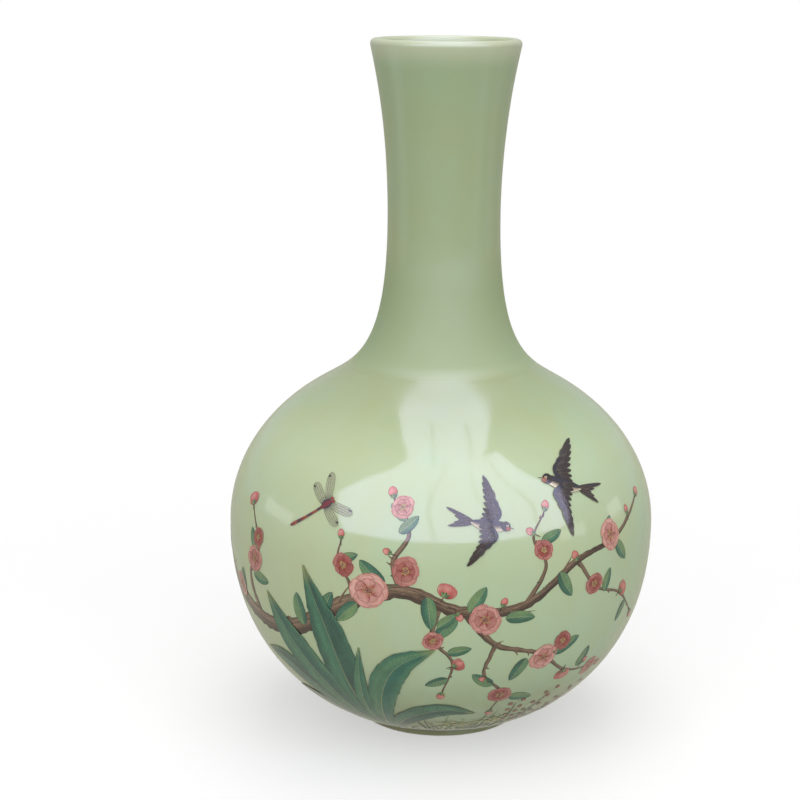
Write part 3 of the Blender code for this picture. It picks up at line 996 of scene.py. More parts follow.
def bud(canvas, c, foot, turn, reach, opening):
    """Bud or half open blossom: folded petals fanned by the opening, in a cup of green scales."""
    canvas.start()
    stalk = canvas.on(foot, turned([(-3.2, 0, 0), (-1.2, 0.2, 0), (0.8, 0, 0)], turn))
    canvas.line(stalk, 0.34, c.umber)
    fan = np.linspace(-opening, opening, 1 if opening == 0 else 5)
    for angle in fan[np.argsort(-np.abs(fan), kind="stable")]:
        rows = canvas.on(foot, turned(blade(reach, reach * 0.72, skew=1.1, point=0.8), turn + angle))
        light = blend(c.blush, c.rose, 0.3 + canvas.chance.uniform(0, 0.3))
        base = [blend(c.crimson, c.rose), c.rose, c.rose]
        paint = [[c.crimson] * 3, base, [c.rose, light, light], [c.rose] * 3]
        canvas.stroke(rows, paint, soft=0.2, grain=0.08, edge=blend(c.crimson, c.ink, 0.3))
    for angle in (-0.7, 0.7, 0.0):
        scale = canvas.on(foot, turned(blade(reach * 0.42, reach * 0.3, skew=0.9, point=1.1), turn + angle))
        canvas.stroke(scale, [[c.deep, c.leaf, c.moss]], soft=0.15)


def broad_leaf(canvas, c, controls, age):
    """Long arching leaf: a wash that changes along it, many slanting veins and a strong midrib."""
    controls = np.asarray(controls, float)
    dark, light = blend(c.teal, c.deep, age), blend(c.leaf, c.teal, age)
    shares = np.clip(canvas.chance.normal(LEAF_FOLDS, 0.2, (12, len(LEAF_FOLDS))), -0.25, 1.4)
    paint = [[blend(dark, light, share) for share in row] for row in shares]
    paint[-1] = [blend(c.moss, c.rust, 0.25 * age + 0.1)] * len(LEAF_FOLDS)
    canvas.stroke(controls, paint, soft=0.35, rough=0.04, grain=0.1, edge=blend(c.deep, c.ink, 0.35))
    onward, outward = BROAD_VEIN
    for t in np.linspace(0.06, 0.9, round(canvas.course(controls, [0.0])[3] / BROAD_VEIN_STEP)):
        for side in (-1, 1):
            tone = blend(c.deep, dark, canvas.chance.uniform(0.1, 0.7))
            canvas.vein(controls, t + onward, side * outward, 0.09, tone)
    rib = canvas.beside(controls, np.linspace(0, 0.97, 14), 0.0)
    canvas.stroke(np.column_stack([rib, np.linspace(0.6, 0.12, 14)]), [[dark, blend(c.moss, c.cream, 0.3)]])


def wing(canvas, c, seat, bone, headings, reaches):
    """Wing: long feathers fanned from the bone, a row of short ones over them, and its dark edge.

    Headings and reaches of the feathers change evenly from the body to the wing's tip.
    """
    bone = np.asarray(bone, float)
    for row, (count, share, tone) in enumerate(((9, 1.0, 0.0), (5, 0.5, 0.072))):
        body = blend(blend(c.feather, c.indigo, 0.4 * row), c.cream, tone)
        paint = [[body] * 3, [body, c.feather, body], [c.feather] * 3]
        for t in np.linspace(1, 0, count):
            root = smooth(bone, np.array([t * (len(bone) - 1)]))[0]
            angle, reach = (np.interp(t, [0, 1], ends) for ends in (headings, reaches))
            shape = blade(reach * share, 2.5 + 0.6 * row, skew=0.9, point=0.8)
            feather = seat(turned(shape, angle, shift=root))
            canvas.stroke(feather, paint, soft=0.18, edge=blend(c.feather, c.bark, 0.3))
    edge = np.column_stack([bone, np.linspace(1.3, 0.5, len(bone))])
    canvas.stroke(seat(edge), [[c.feather, c.indigo, c.feather]], soft=0.2)


def swallow(canvas, c, centre, turn, size, flip):
    """Flying swallow: forked tail, two feathered wings, pale breast and rust throat.

    It flies along u, and a flip of -1 sends it the other way with its back still up.
    """
    canvas.start()

    def seat(rows):
        return canvas.on(centre, turned(rows, turn, size) * [flip, 1, 1])

    for angle, reach in SWALLOW_TAIL:
        feather = seat(turned(blade(reach, 2.0, skew=0.8, point=0.9), angle, shift=(-5, 0)))
        canvas.stroke(feather, [[c.feather, c.indigo, c.feather]], soft=0.18, edge=blend(c.feather, c.bark))
    wing(canvas, c, seat, *FAR_WING)
    across = [c.cream, blend(c.cream, c.bark, 0.35), c.feather, c.indigo, c.feather][::flip]
    canvas.stroke(seat(SWALLOW_BODY), [across] * 2, soft=0.25, grain=0.1, edge=c.feather)
    wing(canvas, c, seat, *NEAR_WING)
    crown, throat, eye, *beak = seat(SWALLOW_HEAD)
    canvas.dot(crown, 2.4 * size, c.feather)
    canvas.dot(throat, 1.25 * size, c.rust)
    canvas.dot(eye, 0.62 * size, c.cream)
    canvas.dot(eye, 0.34 * size, c.ink)
    canvas.line(np.array(beak), 0.35 * size, c.ink)


def sail(canvas, c, rows, size):
    """Clear wing of a dragonfly: long veins, cross veins from edge to edge, and a dark spot near its tip."""
    clear, dusky = (*blend(c.cream, c.leaf, 0.35), 0.45), (*tuple(c.indigo), 0.8)
    paint = [[dusky] * 3, [clear] * 3, [clear] * 3, [clear, clear, dusky]]
    canvas.stroke(rows, paint, soft=0.15, edge=c.indigo)
    for share in (-0.5, 0.0, 0.5):
        canvas.vein(rows, np.linspace(0.03, 0.95, 7), share, 0.08, c.indigo)
    for t in np.linspace(0.16, 0.92, 10):
        canvas.vein(rows, [t, t], np.array([-0.9, 0.9]), 0.05, c.indigo)
    canvas.dot(canvas.beside(rows, [0.86], 0.55)[0], 0.7 * size, c.ink, lean=0.6)


def dragonfly(canvas, c, centre, turn, size):
    """Dragonfly: four clear veined wings, a banded tail, a stout chest and two round eyes."""
    canvas.start()

    def seat(rows):
        return canvas.on(centre, turned(rows, turn, size, lean=0.8))

    for root, angle, reach in SAILS:
        shape = turned(blade(reach, 4.0, skew=1.2, point=0.6), angle, shift=(root, 0))
        sail(canvas, c, seat(shape), size)
    canvas.stroke(seat(DRAGON_TAIL), [[c.rust], [c.crimson], [c.indigo]] * 4)
    canvas.stroke(seat(DRAGON_CHEST), [[c.indigo, c.crimson, c.indigo]], edge=c.ink)
    for side in (-0.9, 0.9):
        canvas.dot(seat([(4.9, side, 0)])[0], 0.85 * size, blend(c.crimson, c.rust, 0.3))


def grass(canvas, c, foot, reach, lean, age):
    """Blade of grass that rises from its foot and leans over as the square of its height."""
    up = np.linspace(0, 1, 5)
    rise = reach * (up - 0.25 * abs(lean) / reach * up**2)
    rows = np.column_stack([lean * up**2, rise, 0.75 * (1 - up) + 0.06])
    tone = blend(c.moss, c.deep, age)
    paint = [[tone, blend(tone, c.moss)], [blend(tone, c.deep, 0.4), tone]]
    canvas.stroke(canvas.on(foot, rows), paint, soft=0.15)
    canvas.start()


def tuft(canvas, c, centre, reach, count):
    """Patch of small flowers: many dabs scattered thickest in its middle."""
    for u, v in canvas.chance.normal(0, 0.42, (count, 2)) * reach:
        tone = blend(c.yellow, canvas.chance.choice([c.moss, c.leaf, c.cream]), canvas.chance.uniform(0, 0.9))
        place = canvas.on(centre, np.array([[u, v * 0.6, 0]]))[0]
        canvas.dot(place, canvas.chance.uniform(0.5, 1.3), tone, lean=0.8)
        canvas.start(canvas.chance.integers(1, 9))


def berries(canvas, c, stem, count):
    """Sprig: a fine stem with round berries on short stalks, each with a highlight and a dark tip."""
    stem = np.asarray(stem, float)
    canvas.start()
    canvas.stroke(stem, [[c.umber, c.bark]], soft=0.15)
    for number, t in enumerate(np.linspace(0.3, 1, count)):
        root = canvas.beside(stem, [t], 0.0)[0]
        turn = canvas.chance.uniform(0.5, 1.1) * (1 if number % 2 else -1) + 1.5
        tip = canvas.on(root, turned([(4.2, 0, 0)], turn))[0]
        canvas.start(1)
        canvas.line(np.array([root, tip[:2]]), 0.16, c.umber)
        tone = blend(c.crimson, c.rose, canvas.chance.uniform(0, 0.5))
        canvas.dot(tip, 1.35, tone, edge=blend(c.crimson, c.ink))
        canvas.dot(tip + [-0.4, 0.45, 0], 0.4, c.blush)
        canvas.dot(tip + [0.3, -0.6, 0], 0.25, c.ink)


def bamboo_leaf(canvas, c, foot, rank):
    """Narrow pointed leaf that hangs from a joint: two halves in two greens and a dark midrib."""
    pick = canvas.chance.uniform
    turn = pick(-2.6, -0.2)
    rows = canvas.on(foot, turned(blade(pick(18, 28), pick(3.2, 4.6), skew=0.7, point=1.3), turn))
    canvas.start(rank)
    tone = pick(0, 0.8)
    canvas.stroke(rows, [[blend(c.teal, c.deep, tone), blend(c.leaf, c.teal, tone)]], soft=0.2, grain=0.1)
    canvas.vein(rows, np.linspace(0.02, 0.9, 5), 0.0, 0.08, blend(c.deep, c.ink, 0.3))


def bamboo(canvas, c, controls, joints, age):
    """Bamboo stem: jointed lengths, each lit along its middle and wider at its ends, with fans of leaves."""
    controls = np.asarray(controls, float)
    places = np.linspace(0, 1, joints + 1)
    dark, light = blend(c.leaf, c.deep, 0.3 + age / 2), blend(c.moss, c.leaf, 0.3 + age / 2)
    for start, end in zip(places[:-1], places[1:]):
        canvas.start()
        t = np.linspace(start + 0.004, end - 0.004, 5)
        half = np.interp(t, [0, 1], controls[[0, -1], 2]) * CANE_SWELL
        rows = np.column_stack([canvas.beside(controls, t, 0.0), half])
        canvas.stroke(rows, [[dark, light, dark]], grain=0.1)
        canvas.vein(controls, [end, end], np.array([-1.2, 1.2]), 0.3, c.deep)
        for number in range(canvas.chance.integers(3, 6)):
            bamboo_leaf(canvas, c, canvas.beside(controls, [end], 0.0)[0], 2 + 2 * number)


# The painting's layout: rows of x, y and half width along each branch, in millimetres
BOUGH = [(-238, -116, 7.2), (-226, -84, 6.4), (-210, -50, 6.0), (-190, -22, 5.6), (-164, -14, 5.4),
         (-138, -28, 5.2), (-108, -38, 4.9), (-78, -34, 4.6), (-48, -16, 4.1), (-18, -6, 3.7),
         (12, -16, 3.0), (42, -14, 2.3), (70, 4, 1.7), (98, 10, 1.2), (126, 24, 0.6)]
TWIGS = (
    [(-18, -6, 2.2), (-22, 8, 1.4), (-15, 22, 1.1), (-24, 38, 0.5)],
    [(12, -16, 2.2), (28, -34, 1.6), (52, -42, 1.2), (76, -58, 0.9), (104, -62, 0.4)],
    [(28, -34, 1.4), (24, -52, 1.0), (36, -66, 0.8), (34, -82, 0.4)],
    [(70, 4, 1.4), (84, -12, 0.9), (104, -20, 0.7), (124, -36, 0.4)],
    [(-108, -38, 2.4), (-114, -16, 1.4), (-104, 2, 1.0), (-114, 20, 0.4)],
    [(42, -14, 1.6), (52, 4, 1.0), (46, 18, 0.7), (54, 30, 0.4)],
    [(0, -12, 1.8), (-3, -30, 1.1), (7, -44, 0.8), (2, -64, 0.4)],
    [(-42, -13, 1.4), (-44, -4, 1.0), (-50, 6, 0.8), (-49, 16, 0.4)],
    [(-208, -50, 3.2), (-232, -34, 1.8), (-254, -16, 1.2), (-278, 6, 0.5)],
    [(-232, -34, 1.5), (-246, -50, 0.9), (-268, -58, 0.4)],
    [(-190, -22, 2.4), (-198, -2, 1.5), (-188, 16, 1.0), (-200, 36, 0.4)],
)
BLOSSOMS = (  # x, y, radius, turn, depth, rank
    (-34, -7, 10.0, 0.3, 0.05, 0), (-16, 4, 7.5, 1.4, 0.45, 16), (-47, 4, 6.0, 2.2, 0.6, 0),
    (22, -20, 8.5, 2.2, 0.25, 0), (56, -45, 8.0, 0.8, 0.1, 0), (66, -37, 5.5, 2.0, 0.6, 16),
    (36, -68, 6.5, 2.9, 0.5, 0), (94, 12, 8.0, 1.9, 0.15, 0), (-108, -6, 7.5, 0.5, 0.35, 0),
    (-190, -20, 8.5, 0.2, 0.15, 16), (-238, -30, 7.0, 1.2, 0.4, 0), (-262, -9, 6.5, 2.1, 0.15, 0),
    (-254, -54, 5.5, 0.6, 0.5, 0), (-207, -40, 6.0, 1.7, 0.6, 0), (-192, 10, 6.5, 0.9, 0.3, 0),
    (-19, 34, 6.0, 1.0, 0.2, 0), (82, -10, 6.0, 0.2, 0.55, 0), (98, -62, 6.0, 1.2, 0.3, 0),
    (-3, -31, 5.5, 0.9, 0.4, 0), (51, 12, 5.5, 2.5, 0.5, 0), (-130, -26, 7.0, 1.7, 0.2, 0),
    (-104, 6, 5.0, 1.1, 0.7, 16),
)
BUDS = (  # x, y, turn, reach, opening
    (-24, 38, 1.9, 6.0, 0), (54, 30, 1.2, 5.5, 0), (126, 24, 0.6, 6.0, 0), (104, -62, -0.2, 6.0, 0),
    (124, -36, -0.8, 6.0, 0), (34, -82, -1.6, 5.5, 0), (-114, 20, 2.0, 6.5, 0.6), (2, -8, 1.1, 7.0, 0.6),
    (74, -57, -1.5, 7.0, 0.55), (30, -14, 1.2, 5.0, 0), (104, -20, 0.5, 6.5, 0.6), (-106, 0, 0.7, 5.0, 0),
    (47, 20, 2.6, 5.0, 0), (70, 4, 2.0, 5.5, 0), (-49, 16, 1.7, 5.0, 0), (-278, 6, 2.4, 6.0, 0),
    (-268, -58, 3.4, 5.5, 0), (-176, -12, 1.4, 5.0, 0), (-247, -22, 1.5, 5.5, 0.5), (-200, 36, 2.0, 6.0, 0),
    (-23, 12, 2.8, 4.5, 0), (26, -56, 2.7, 4.5, 0), (2, -64, -1.8, 5.5, 0), (7, -46, 0.4, 6.0, 0.5),
    (62, -44, 1.6, 4.5, 0), (112, 18, 1.6, 5.0, 0), (88, -57, 1.2, 4.5, 0), (8, -16, -1.0, 5.0, 0),
)
LEAVES = (  # x, y, turn, reach, age
    (-26, -4, 2.5, 17, 0.6), (-40, -14, 3.9, 16, 0.3), (-6, -8, -1.4, 17, 0.7), (14, -16, 1.0, 15, 0.2),
    (32, -20, 0.1, 15, 0.5), (8, -18, -2.2, 16, 0.9), (62, -44, 0.5, 16, 0.4), (46, -44, -2.0, 15, 0.8),
    (30, -60, 2.6, 14, 0.5), (42, -70, -0.3, 14, 0.2), (88, 8, 0.9, 15, 0.7), (98, 8, -0.9, 14, 0.3),
    (60, 0, -1.2, 15, 0.6), (-104, -4, 2.2, 15, 0.8), (-110, -14, -0.2, 14, 0.4), (-20, 22, 0.6, 12, 0.2),
    (-16, 28, 2.6, 11, 0.6), (50, 16, 0.2, 12, 0.5), (84, -58, 1.2, 13, 0.6), (90, -16, 1.4, 12, 0.3),
    (4, -38, 0.2, 12, 0.4), (5, -54, 3.6, 12, 0.7), (-1, -24, 0.7, 12, 0.2), (-128, -30, 1.2, 15, 0.6),
    (112, -26, -2.0, 12, 0.7), (-198, -30, 2.3, 16, 0.5), (-180, -18, -1.2, 15, 0.3),
    (-222, -42, -2.2, 15, 0.7), (-246, -24, 1.0, 14, 0.4), (-258, -54, -2.4, 13, 0.6),
    (-270, -2, 3.2, 13, 0.2), (-216, -62, 2.9, 14, 0.8),
    (-228, -36, 0.8, 13, 0.5), (-198, 0, 2.6, 14, 0.4), (-190, 14, 0.2, 13, 0.7), (-160, -16, 1.3, 15, 0.2),
    (-50, 6, 0.3, 11, 0.3), (-72, -32, 1.9, 17, 0.5), (-60, -24, 1.2, 15, 0.8),
)
BROAD_LEAVES = (  # age and rows
    (0.8, [(-60, -112, 1.6), (-82, -94, 6.0), (-104, -88, 5.6), (-124, -92, 0.4)]),
    (0.5, [(-38, -112, 1.6), (-20, -90, 6.4), (2, -80, 6.2), (24, -84, 0.4)]),
    (0.7, [(-56, -112, 1.6), (-76, -80, 8.2), (-96, -62, 8.2), (-118, -58, 0.4)]),
    (0.6, [(-48, -112, 1.6), (-52, -66, 9.0), (-58, -32, 9.4), (-70, 0, 0.4)]),
    (0.3, [(-52, -112, 1.6), (-68, -72, 8.6), (-84, -44, 9.2), (-98, -20, 0.4)]),
    (0.05, [(-42, -112, 1.4), (-34, -72, 7.2), (-22, -48, 7.4), (-2, -36, 0.4)]),
    (0.0, [(-46, -112, 1.0), (-47, -82, 3.6), (-44, -58, 3.2), (-41, -38, 0.3)]),
)
STEMS = (  # rows and berries
    ([(66, -114, 0.8), (66, -92, 0.6), (74, -74, 0.2)], 9),
    ([(62, -114, 0.8), (52, -96, 0.6), (50, -78, 0.2)], 9),
    ([(70, -114, 0.8), (86, -94, 0.6), (100, -78, 0.2)], 9),
)
CANES = (  # age, rows and joints
    (0.2, [(266, -114, 2.8), (274, -62, 2.6), (268, -10, 2.2), (281, 46, 1.2)], 8),
    (0.7, [(300, -114, 2.2), (322, -68, 2.0), (332, -22, 1.6), (354, 22, 0.9)], 7),
    (0.4, [(284, -114, 1.6), (294, -80, 1.4), (304, -50, 1.0), (306, -20, 0.6)], 5),
)
SWALLOWS = (((72, 40), 0.35, 1.15, -1), ((22, 26), -0.25, 1.0, 1))  # centre, turn, size and flip
DRAGONFLY = ((-62, 30), 0.7, 1.15)  # centre, turn and size
LAWNS = ((-36, 118, 54), (-140, -76, 18), (-270, -196, 26), (240, 372, 44))  # from, to and blades of grass
GRASS_FOOT = -115
GRASS_REACH = (8, 12, 40)  # least, usual and most
GRASS_LEAN = (2, 8)  # middle and spread
TUFTS = (  # x, y, reach, count
    (14, -99, 12, 70), (40, -96, 10, 60), (-96, -100, 12, 60), (98, -100, 12, 60), (-252, -100, 12, 60),
    (318, -100, 14, 80), (354, -102, 10, 50), (246, -100, 10, 50),
)


def painted_branch(canvas, c):
    """The bough, its twigs and their bark."""
    for twig in TWIGS:
        branch(canvas, c, twig, bark=9, spurs=3, knots=0, moss=3)
    branch(canvas, c, BOUGH, bark=120, spurs=13, knots=6, moss=46, rank=4)


def painted_leaves(canvas, c):
    """Leaves along the twigs."""
    for number, (x, y, turn, reach, age) in enumerate(LEAVES):
        leaf(canvas, c, (x, y), turn, reach, age, canvas.chance.uniform(-0.2, 0.2), 3 * (number % 4))


def painted_blossoms(canvas, c):
    """Open blossoms and buds."""
    for x, y, turn, reach, opening in BUDS:
        bud(canvas, c, (x, y), turn, reach, opening)
    for x, y, radius, turn, depth, rank in BLOSSOMS:
        blossom(canvas, c, (x, y), radius, turn, depth, rank)


def painted_plantain(canvas, c):
    """Clump of broad leaves that grows from near the foot."""
    for age, controls in BROAD_LEAVES:
        broad_leaf(canvas, c, controls, age)


def painted_swallows(canvas, c):
    """Two swallows in flight."""
    for bird in SWALLOWS:
        swallow(canvas, c, *bird)


def painted_dragonfly(canvas, c):
    """Dragonfly over the broad leaves."""
    dragonfly(canvas, c, *DRAGONFLY)


def painted_ground(canvas, c):
    """Grass, patches of small flowers and red berries low on the globe."""
    for left, right, count in LAWNS:
        for x in canvas.chance.uniform(left, right, count):
            reach, lean = canvas.chance.triangular(*GRASS_REACH), canvas.chance.normal(*GRASS_LEAN)
            grass(canvas, c, (x, GRASS_FOOT), reach, lean, canvas.chance.uniform(0, 0.9))
    for x, y, reach, count in TUFTS:
        tuft(canvas, c, (x, y), reach, count)
    for stem, count in STEMS:
        berries(canvas, c, stem, count)


def painted_bamboo(canvas, c):
    """Three bamboo stems on the back."""
    for age, controls, joints in CANES:
        bamboo(canvas, c, controls, joints, age)


def paint_piece(context, draw, seed, tier):
    """Draws one piece of the painting and names it after what draws it."""
    canvas = Canvas(Outline(context.scene.vase_sizes), seed, tier)
    draw(canvas, context.scene.vase_enamels)
    canvas.make(draw.__name__, shared("enamel", enamel_material))


STAGE_MIDDLE = 0.15  # height of the middle of the tent
PANEL_DISTANCE = 2.6
PANEL_STEPS = 12
FRONT_SIDES = np.array([  # elevation, and the azimuths between which the front panel lies there
    (11, -52, 72),
    (33, -67, 79),
    (47, -56, 67),
    (59, -43, 66),
    (66, -40, 70),
])
FRONT_FOLDS = ((0.0, 0.40), (0.41, 0.64), (0.65, 0.84), (0.85, 1.0))
FILL_SHORT = 12  # degrees by which the front light ends before the panel on the right
CEILING_BACK = (1.6, 2.0)  # y and height of the ceiling's cloth, behind the vase and in front
CEILING_FRONT = (-0.9, 2.2)
# Left and right ends of each strip of cloth, behind the vase and then in front
CEILING_STRIPS = ((-0.50, -0.13, -0.55, -0.13), (-0.11, 0.0, -0.11, 0.54), (0.02, 0.50, 0.57, 0.72))
CEILING_LIGHT = (-0.50, 0.62, -0.70, 0.95)
NECK_CARD = (  # faces down, and the shoulder mirrors it in place of the neck's dark side
    ((-0.026, -0.036, 0.235), (0.026, -0.036, 0.235)),
    ((-0.026, -0.060, 0.235), (0.026, -0.060, 0.235)),
)
SIDE_STRIPS = ((-89, 11), (67, 8), (99, 6))  # azimuth and half width
SIDE_DISTANCE = 0.5
SIDE_REACH = (0.14, 0.198)  # heights of their ends
ROUND = np.linspace(0, 360, 33)
DOME_ELEVATIONS = np.linspace(-2, 90, 9)
DOME_DISTANCE = 6.0
SHEEN_REACH = (0.02, 5.9)
SHEEN_HEIGHT = 0.5 * MM
WHITE = (1.0, 1.0, 1.0)
DAYLIGHT = (0.99, 0.99, 1.35)
WARM_TABLE = (1.0, 0.97, 0.82)


def heading(azimuth, elevation, distance):
    """Points at a distance from the vase's middle, where azimuth 0 is the front.

    In degrees: (sin azimuth cos elevation, -cos azimuth cos elevation, sin elevation).
    """
    turn, tilt = np.radians(azimuth), np.radians(elevation)
    flat = [np.sin(turn) * np.cos(tilt), -np.cos(turn) * np.cos(tilt), np.sin(tilt)]
    return distance * np.stack(flat, axis=-1) + [0, 0, STAGE_MIDDLE]


def front_cloth(start, end, short=0):
    """Front panel between two shares of its width, and so many degrees short on its right."""
    elevation = np.linspace(FRONT_SIDES[0, 0], FRONT_SIDES[-1, 0], PANEL_STEPS)[:, None]
    left, right = (np.interp(elevation, FRONT_SIDES[:, 0], FRONT_SIDES[:, k]) for k in (1, 2))
    share = np.linspace(start, end, PANEL_STEPS)[None, :]
    return heading(left + (right - short - left) * share, elevation + share * 0, PANEL_DISTANCE)


def ceiling_cloth(left_back, right_back, left_front, right_front):
    """Cloth above the vase, from its two corners behind it to the two in front."""
    back = [(left_back, *CEILING_BACK), (right_back, *CEILING_BACK)]
    front = [(left_front, *CEILING_FRONT), (right_front, *CEILING_FRONT)]
    return np.array([back, front])


def side_cloth(azimuth, half_width):
    """Upright strip beside the vase."""
    sides = np.array([[azimuth - half_width, azimuth + half_width]] * 2)
    strip = heading(sides, 0 * sides, SIDE_DISTANCE)
    strip[..., 2] = np.array(SIDE_REACH)[:, None]
    return strip


def table_sheen():
    """Flat ring just over the table, from near the vase's axis out to the dome."""
    azimuth = ROUND + np.zeros((2, 1))
    ring = heading(azimuth, 0 * azimuth, np.array(SHEEN_REACH)[:, None, None])
    ring[..., 2] = SHEEN_HEIGHT
    return ring


def on_front(light, glow):
    """Shows a glow on the front of the faces only, and lets through the rays that meet their backs."""
    behind = light.node("NewGeometry").outputs["Backfacing"]
    return light.mix_surfaces(behind, glow, light.node("BsdfTransparent"))


def glowing(name, points, strength, seen, colour=WHITE, one_sided=False):
    """Stage surface from a grid of points that gives even light and that the camera doesn't see.

    Seen is glossy for what the glaze mirrors, and diffuse for what lights the vase.
    """
    rows, columns = points.shape[:2]
    mesh = bpy.data.meshes.new(name)
    mesh.from_pydata(points.reshape(-1, 3), [], grid_faces(rows, columns).tolist())
    light = Finish(name)
    glow = light.node("Emission", {"Strength": strength, "Color": colour})
    light.show(on_front(light, glow) if one_sided else glow)
    mesh.materials.append(light.material)
    panel = placed(name, mesh)
    panel.visible_camera = panel.visible_shadow = panel.visible_transmission = False
    panel.visible_glossy = seen == "glossy"
    panel.visible_diffuse = seen == "diffuse"


def soft_panels(lights):
    """Tent of white cloth: a folded front, strips overhead, the neck's card and slim side strips."""
    for number, fold in enumerate(FRONT_FOLDS):
        glowing(f"front_panel_{number}", front_cloth(*fold), lights.window, "glossy", DAYLIGHT)
    glowing("front_light", front_cloth(0, 1, FILL_SHORT), lights.fill, "diffuse")
    for number, ends in enumerate(CEILING_STRIPS):
        glowing(f"ceiling_strip_{number}", ceiling_cloth(*ends), lights.window, "glossy", DAYLIGHT)
    glowing("ceiling_light", ceiling_cloth(*CEILING_LIGHT), lights.ceiling, "diffuse")
    glowing("neck_card", np.array(NECK_CARD), lights.window, "glossy", DAYLIGHT, one_sided=True)
    for number, strip in enumerate(SIDE_STRIPS):
        glowing(f"side_strip_{number}", side_cloth(*strip), lights.side, "glossy")


def surroundings(lights):
    """What the glaze mirrors beyond the panels: the room as a dome, and the table's pale sheen."""
    dome = heading(*np.meshgrid(ROUND, DOME_ELEVATIONS), DOME_DISTANCE)
    glowing("room_dome", dome, lights.dome, "glossy")
    glowing("table_sheen", table_sheen(), lights.sheen, "glossy", WARM_TABLE)


FLOOR_REACH = 30.0
FLOOR_CORNERS = 64
SHADOW_FADE = (0.25, 0.55)  # distances from the vase's axis between which its shadow fades out


def floor_material(cloth, lights):
    """White table that keeps the vase's shadow close by, and is plain white farther out.

    The distance from the axis is the root of the sum of the squares of x and y.
    """
    squares = (cloth.math("POWER", cloth.along(axis), 2.0) for axis in "XY")
    away = cloth.math("SQRT", cloth.math("ADD", *squares))
    white = cloth.sees_white()
    matt = cloth.node("BsdfDiffuse", {"Color": (lights.table,) * 3})
    own = cloth.node("Emission", {"Strength": cloth.math("MULTIPLY", white, 1.0 - lights.table)})
    near = cloth.node("AddShader", {0: matt.outputs[0], 1: own.outputs[0]})
    plain = cloth.node("Emission", {"Strength": 1.0})
    far = cloth.math("MULTIPLY", cloth.ramp(away, *SHADOW_FADE), white)
    cloth.show(cloth.mix_surfaces(far, near, plain))
    return cloth.material


def table_top(lights):
    """Round table top, far wider than the camera's view."""
    turn = around(FLOOR_CORNERS)
    rim = np.column_stack([np.sin(turn), np.cos(turn), turn * 0]) * FLOOR_REACH
    mesh = bpy.data.meshes.new("table")
    mesh.from_pydata(rim[::-1], [], [tuple(range(len(rim)))])
    mesh.materials.append(shared("pale_table", floor_material, lights))
    table = placed("table", mesh)


PICTURE = 800  # the photograph's width and height, in pixels, as the next three are
FOCAL = 1900
HORIZON_RISE = 443  # from the picture's middle up to the horizon
AXIS_SHIFT = 43  # from the picture's middle to the vase's axis
SENSOR = 36
CAMERA_PLACE = (0.0, -0.9515, 0.3888)
CAMERA_ROLL = math.radians(0.4)


def camera():
    """Camera at the photograph's angle, a little above the rim and to one side of the vase."""
    data = bpy.data.cameras.new("camera")
    data.sensor_width = SENSOR
    data.lens = SENSOR * FOCAL / PICTURE
    eye = placed("camera", data)
    eye.location = CAMERA_PLACE
    eye.rotation_mode = "QUATERNION"
    pitch, yaw = math.atan(HORIZON_RISE / FOCAL), math.atan(AXIS_SHIFT / FOCAL)
    aimed = Euler((math.pi / 2 - pitch, 0, yaw), "XYZ").to_quaternion()
    eye.rotation_quaternion = aimed @ Euler((0, 0, CAMERA_ROLL)).to_quaternion()
    bpy.context.scene.camera = eye


def world(lights):
    """White to the camera and in glossy and clear surfaces, and a soft level for the rest."""
    made = bpy.data.worlds.new("studio")
    made.use_nodes = True
    bpy.context.scene.world = made
    sky = Nodes(made.node_tree)
    power = sky.node("MapRange", {"Value": sky.sees_white(), "To Min": lights.room, "To Max": 1.0})
    back = sky.tree.nodes["Background"]
    sky.join(back.inputs["Color"], WHITE)
    sky.join(back.inputs["Strength"], power.outputs[0])


def studio(lights):
    """The soft panels, what lies beyond them, the table, the camera and the world."""
    soft_panels(lights)
    surroundings(lights)
    table_top(lights)
    camera()
    world(lights)
    bpy.context.scene.view_settings.view_transform = "Standard"


class VASE_OT_porcelain(bpy.types.Operator):
    """Gives the sections and the luted joints their clay finishes"""

    bl_idname = "vase.porcelain"
    bl_label = "Porcelain and slip"

    def execute(self, context):
        for node, piece in frame["nodes"].items():
            clay = ("slip", slip_material) if "slip_joint" in node else ("biscuit", biscuit_material)
            piece.data.materials.clear()
            piece.data.materials.append(shared(*clay, context.scene.vase_glaze))
        return {"FINISHED"}


class VASE_OT_glaze(bpy.types.Operator):
    """Builds the glazed outside, the lining and the glazed base"""

    bl_idname = "vase.glaze"
    bl_label = "Glaze"

    def execute(self, context):
        outline = Outline(context.scene.vase_sizes)
        celadon = shared("celadon", celadon_material, context.scene.vase_glaze)
        glazed_body(outline, celadon)
        lining(outline, celadon)
        base_coat(celadon)
        return {"FINISHED"}


class VASE_OT_foot(bpy.types.Operator):
    """Builds the bare foot ring"""

    bl_idname = "vase.foot"
    bl_label = "Standing foot"

    def execute(self, context):
        standing_foot(shared("biscuit", biscuit_material, context.scene.vase_glaze))
        return {"FINISHED"}


class VASE_OT_branch(bpy.types.Operator):
    """Paints the bough and its twigs"""

    bl_idname = "vase.branch"
    bl_label = "Branch"

    def execute(self, context):
        paint_piece(context, painted_branch, 11, 0)
        return {"FINISHED"}


class VASE_OT_leaves(bpy.types.Operator):
    """Paints the leaves along the twigs"""

    bl_idname = "vase.leaves"
    bl_label = "Leaves"

    def execute(self, context):
        paint_piece(context, painted_leaves, 12, 1)
        return {"FINISHED"}


class VASE_OT_blossoms(bpy.types.Operator):
    """Paints the blossoms and buds"""

    bl_idname = "vase.blossoms"
    bl_label = "Blossoms"

    def execute(self, context):
        paint_piece(context, painted_blossoms, 13, 2)
        return {"FINISHED"}


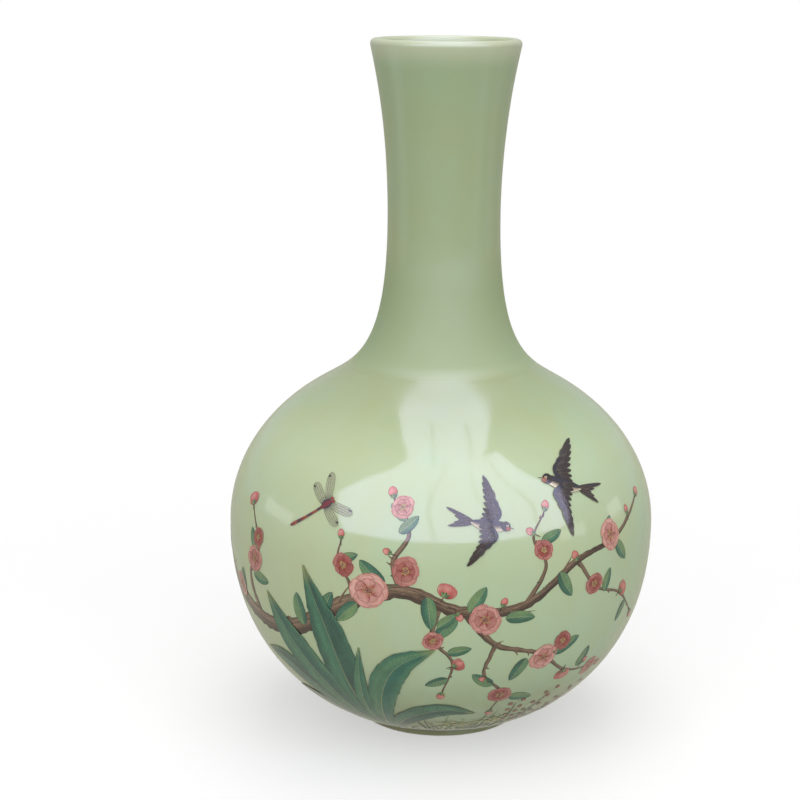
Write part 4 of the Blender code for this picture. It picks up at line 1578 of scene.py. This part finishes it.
class VASE_OT_plantain(bpy.types.Operator):
    """Paints the clump of broad leaves"""

    bl_idname = "vase.plantain"
    bl_label = "Broad leaves"

    def execute(self, context):
        paint_piece(context, painted_plantain, 14, 4)
        return {"FINISHED"}


class VASE_OT_swallows(bpy.types.Operator):
    """Paints the two swallows"""

    bl_idname = "vase.swallows"
    bl_label = "Swallows"

    def execute(self, context):
        paint_piece(context, painted_swallows, 15, 4)
        return {"FINISHED"}


class VASE_OT_dragonfly(bpy.types.Operator):
    """Paints the dragonfly"""

    bl_idname = "vase.dragonfly"
    bl_label = "Dragonfly"

    def execute(self, context):
        paint_piece(context, painted_dragonfly, 16, 4)
        return {"FINISHED"}


class VASE_OT_ground(bpy.types.Operator):
    """Paints grass, small flowers and berries"""

    bl_idname = "vase.ground"
    bl_label = "Ground"

    def execute(self, context):
        paint_piece(context, painted_ground, 17, 3)
        return {"FINISHED"}


class VASE_OT_bamboo(bpy.types.Operator):
    """Paints the bamboo on the back"""

    bl_idname = "vase.bamboo"
    bl_label = "Bamboo"

    def execute(self, context):
        paint_piece(context, painted_bamboo, 18, 0)
        return {"FINISHED"}


class VASE_OT_studio(bpy.types.Operator):
    """Sets the table, the soft panels, the camera and the background"""

    bl_idname = "vase.studio"
    bl_label = "Studio"

    def execute(self, context):
        studio(context.scene.vase_lights)
        return {"FINISHED"}


OPERATORS = (
    VASE_OT_porcelain,
    VASE_OT_glaze,
    VASE_OT_foot,
    VASE_OT_branch,
    VASE_OT_leaves,
    VASE_OT_blossoms,
    VASE_OT_plantain,
    VASE_OT_swallows,
    VASE_OT_dragonfly,
    VASE_OT_ground,
    VASE_OT_bamboo,
    VASE_OT_studio,
)


class VASE_PT_build(bpy.types.Panel):
    """Sizes, colours and lights of the vase, and the steps that build it"""

    bl_idname = "VASE_PT_build"
    bl_label = "Celestial globe vase"
    bl_space_type = "VIEW_3D"
    bl_region_type = "UI"
    bl_category = "Vase"

    def draw(self, context):
        for name, group in GROUPS.items():
            box = self.layout.box()
            for field in group.__annotations__:
                box.prop(getattr(context.scene, name), field)
        for step in OPERATORS:
            self.layout.operator(step.bl_idname)


def register():
    """Registers the classes and puts the groups of settings on the scene."""
    for item in (*GROUPS.values(), *OPERATORS, VASE_PT_build):
        bpy.utils.register_class(item)
    for name, group in GROUPS.items():
        setattr(bpy.types.Scene, name, bpy.props.PointerProperty(type=group))


def unregister():
    """Takes the groups off the scene and the classes out again."""
    for name in GROUPS:
        delattr(bpy.types.Scene, name)
    for item in (VASE_PT_build, *reversed(OPERATORS), *reversed(GROUPS.values())):
        bpy.utils.unregister_class(item)


def main():
    """Builds everything in order."""
    register()
    bpy.ops.vase.porcelain()
    bpy.ops.vase.glaze()
    bpy.ops.vase.foot()
    bpy.ops.vase.branch()
    bpy.ops.vase.leaves()
    bpy.ops.vase.blossoms()
    bpy.ops.vase.plantain()
    bpy.ops.vase.swallows()
    bpy.ops.vase.dragonfly()
    bpy.ops.vase.ground()
    bpy.ops.vase.bamboo()
    bpy.ops.vase.studio()


if __name__ == "__main__":
    main()
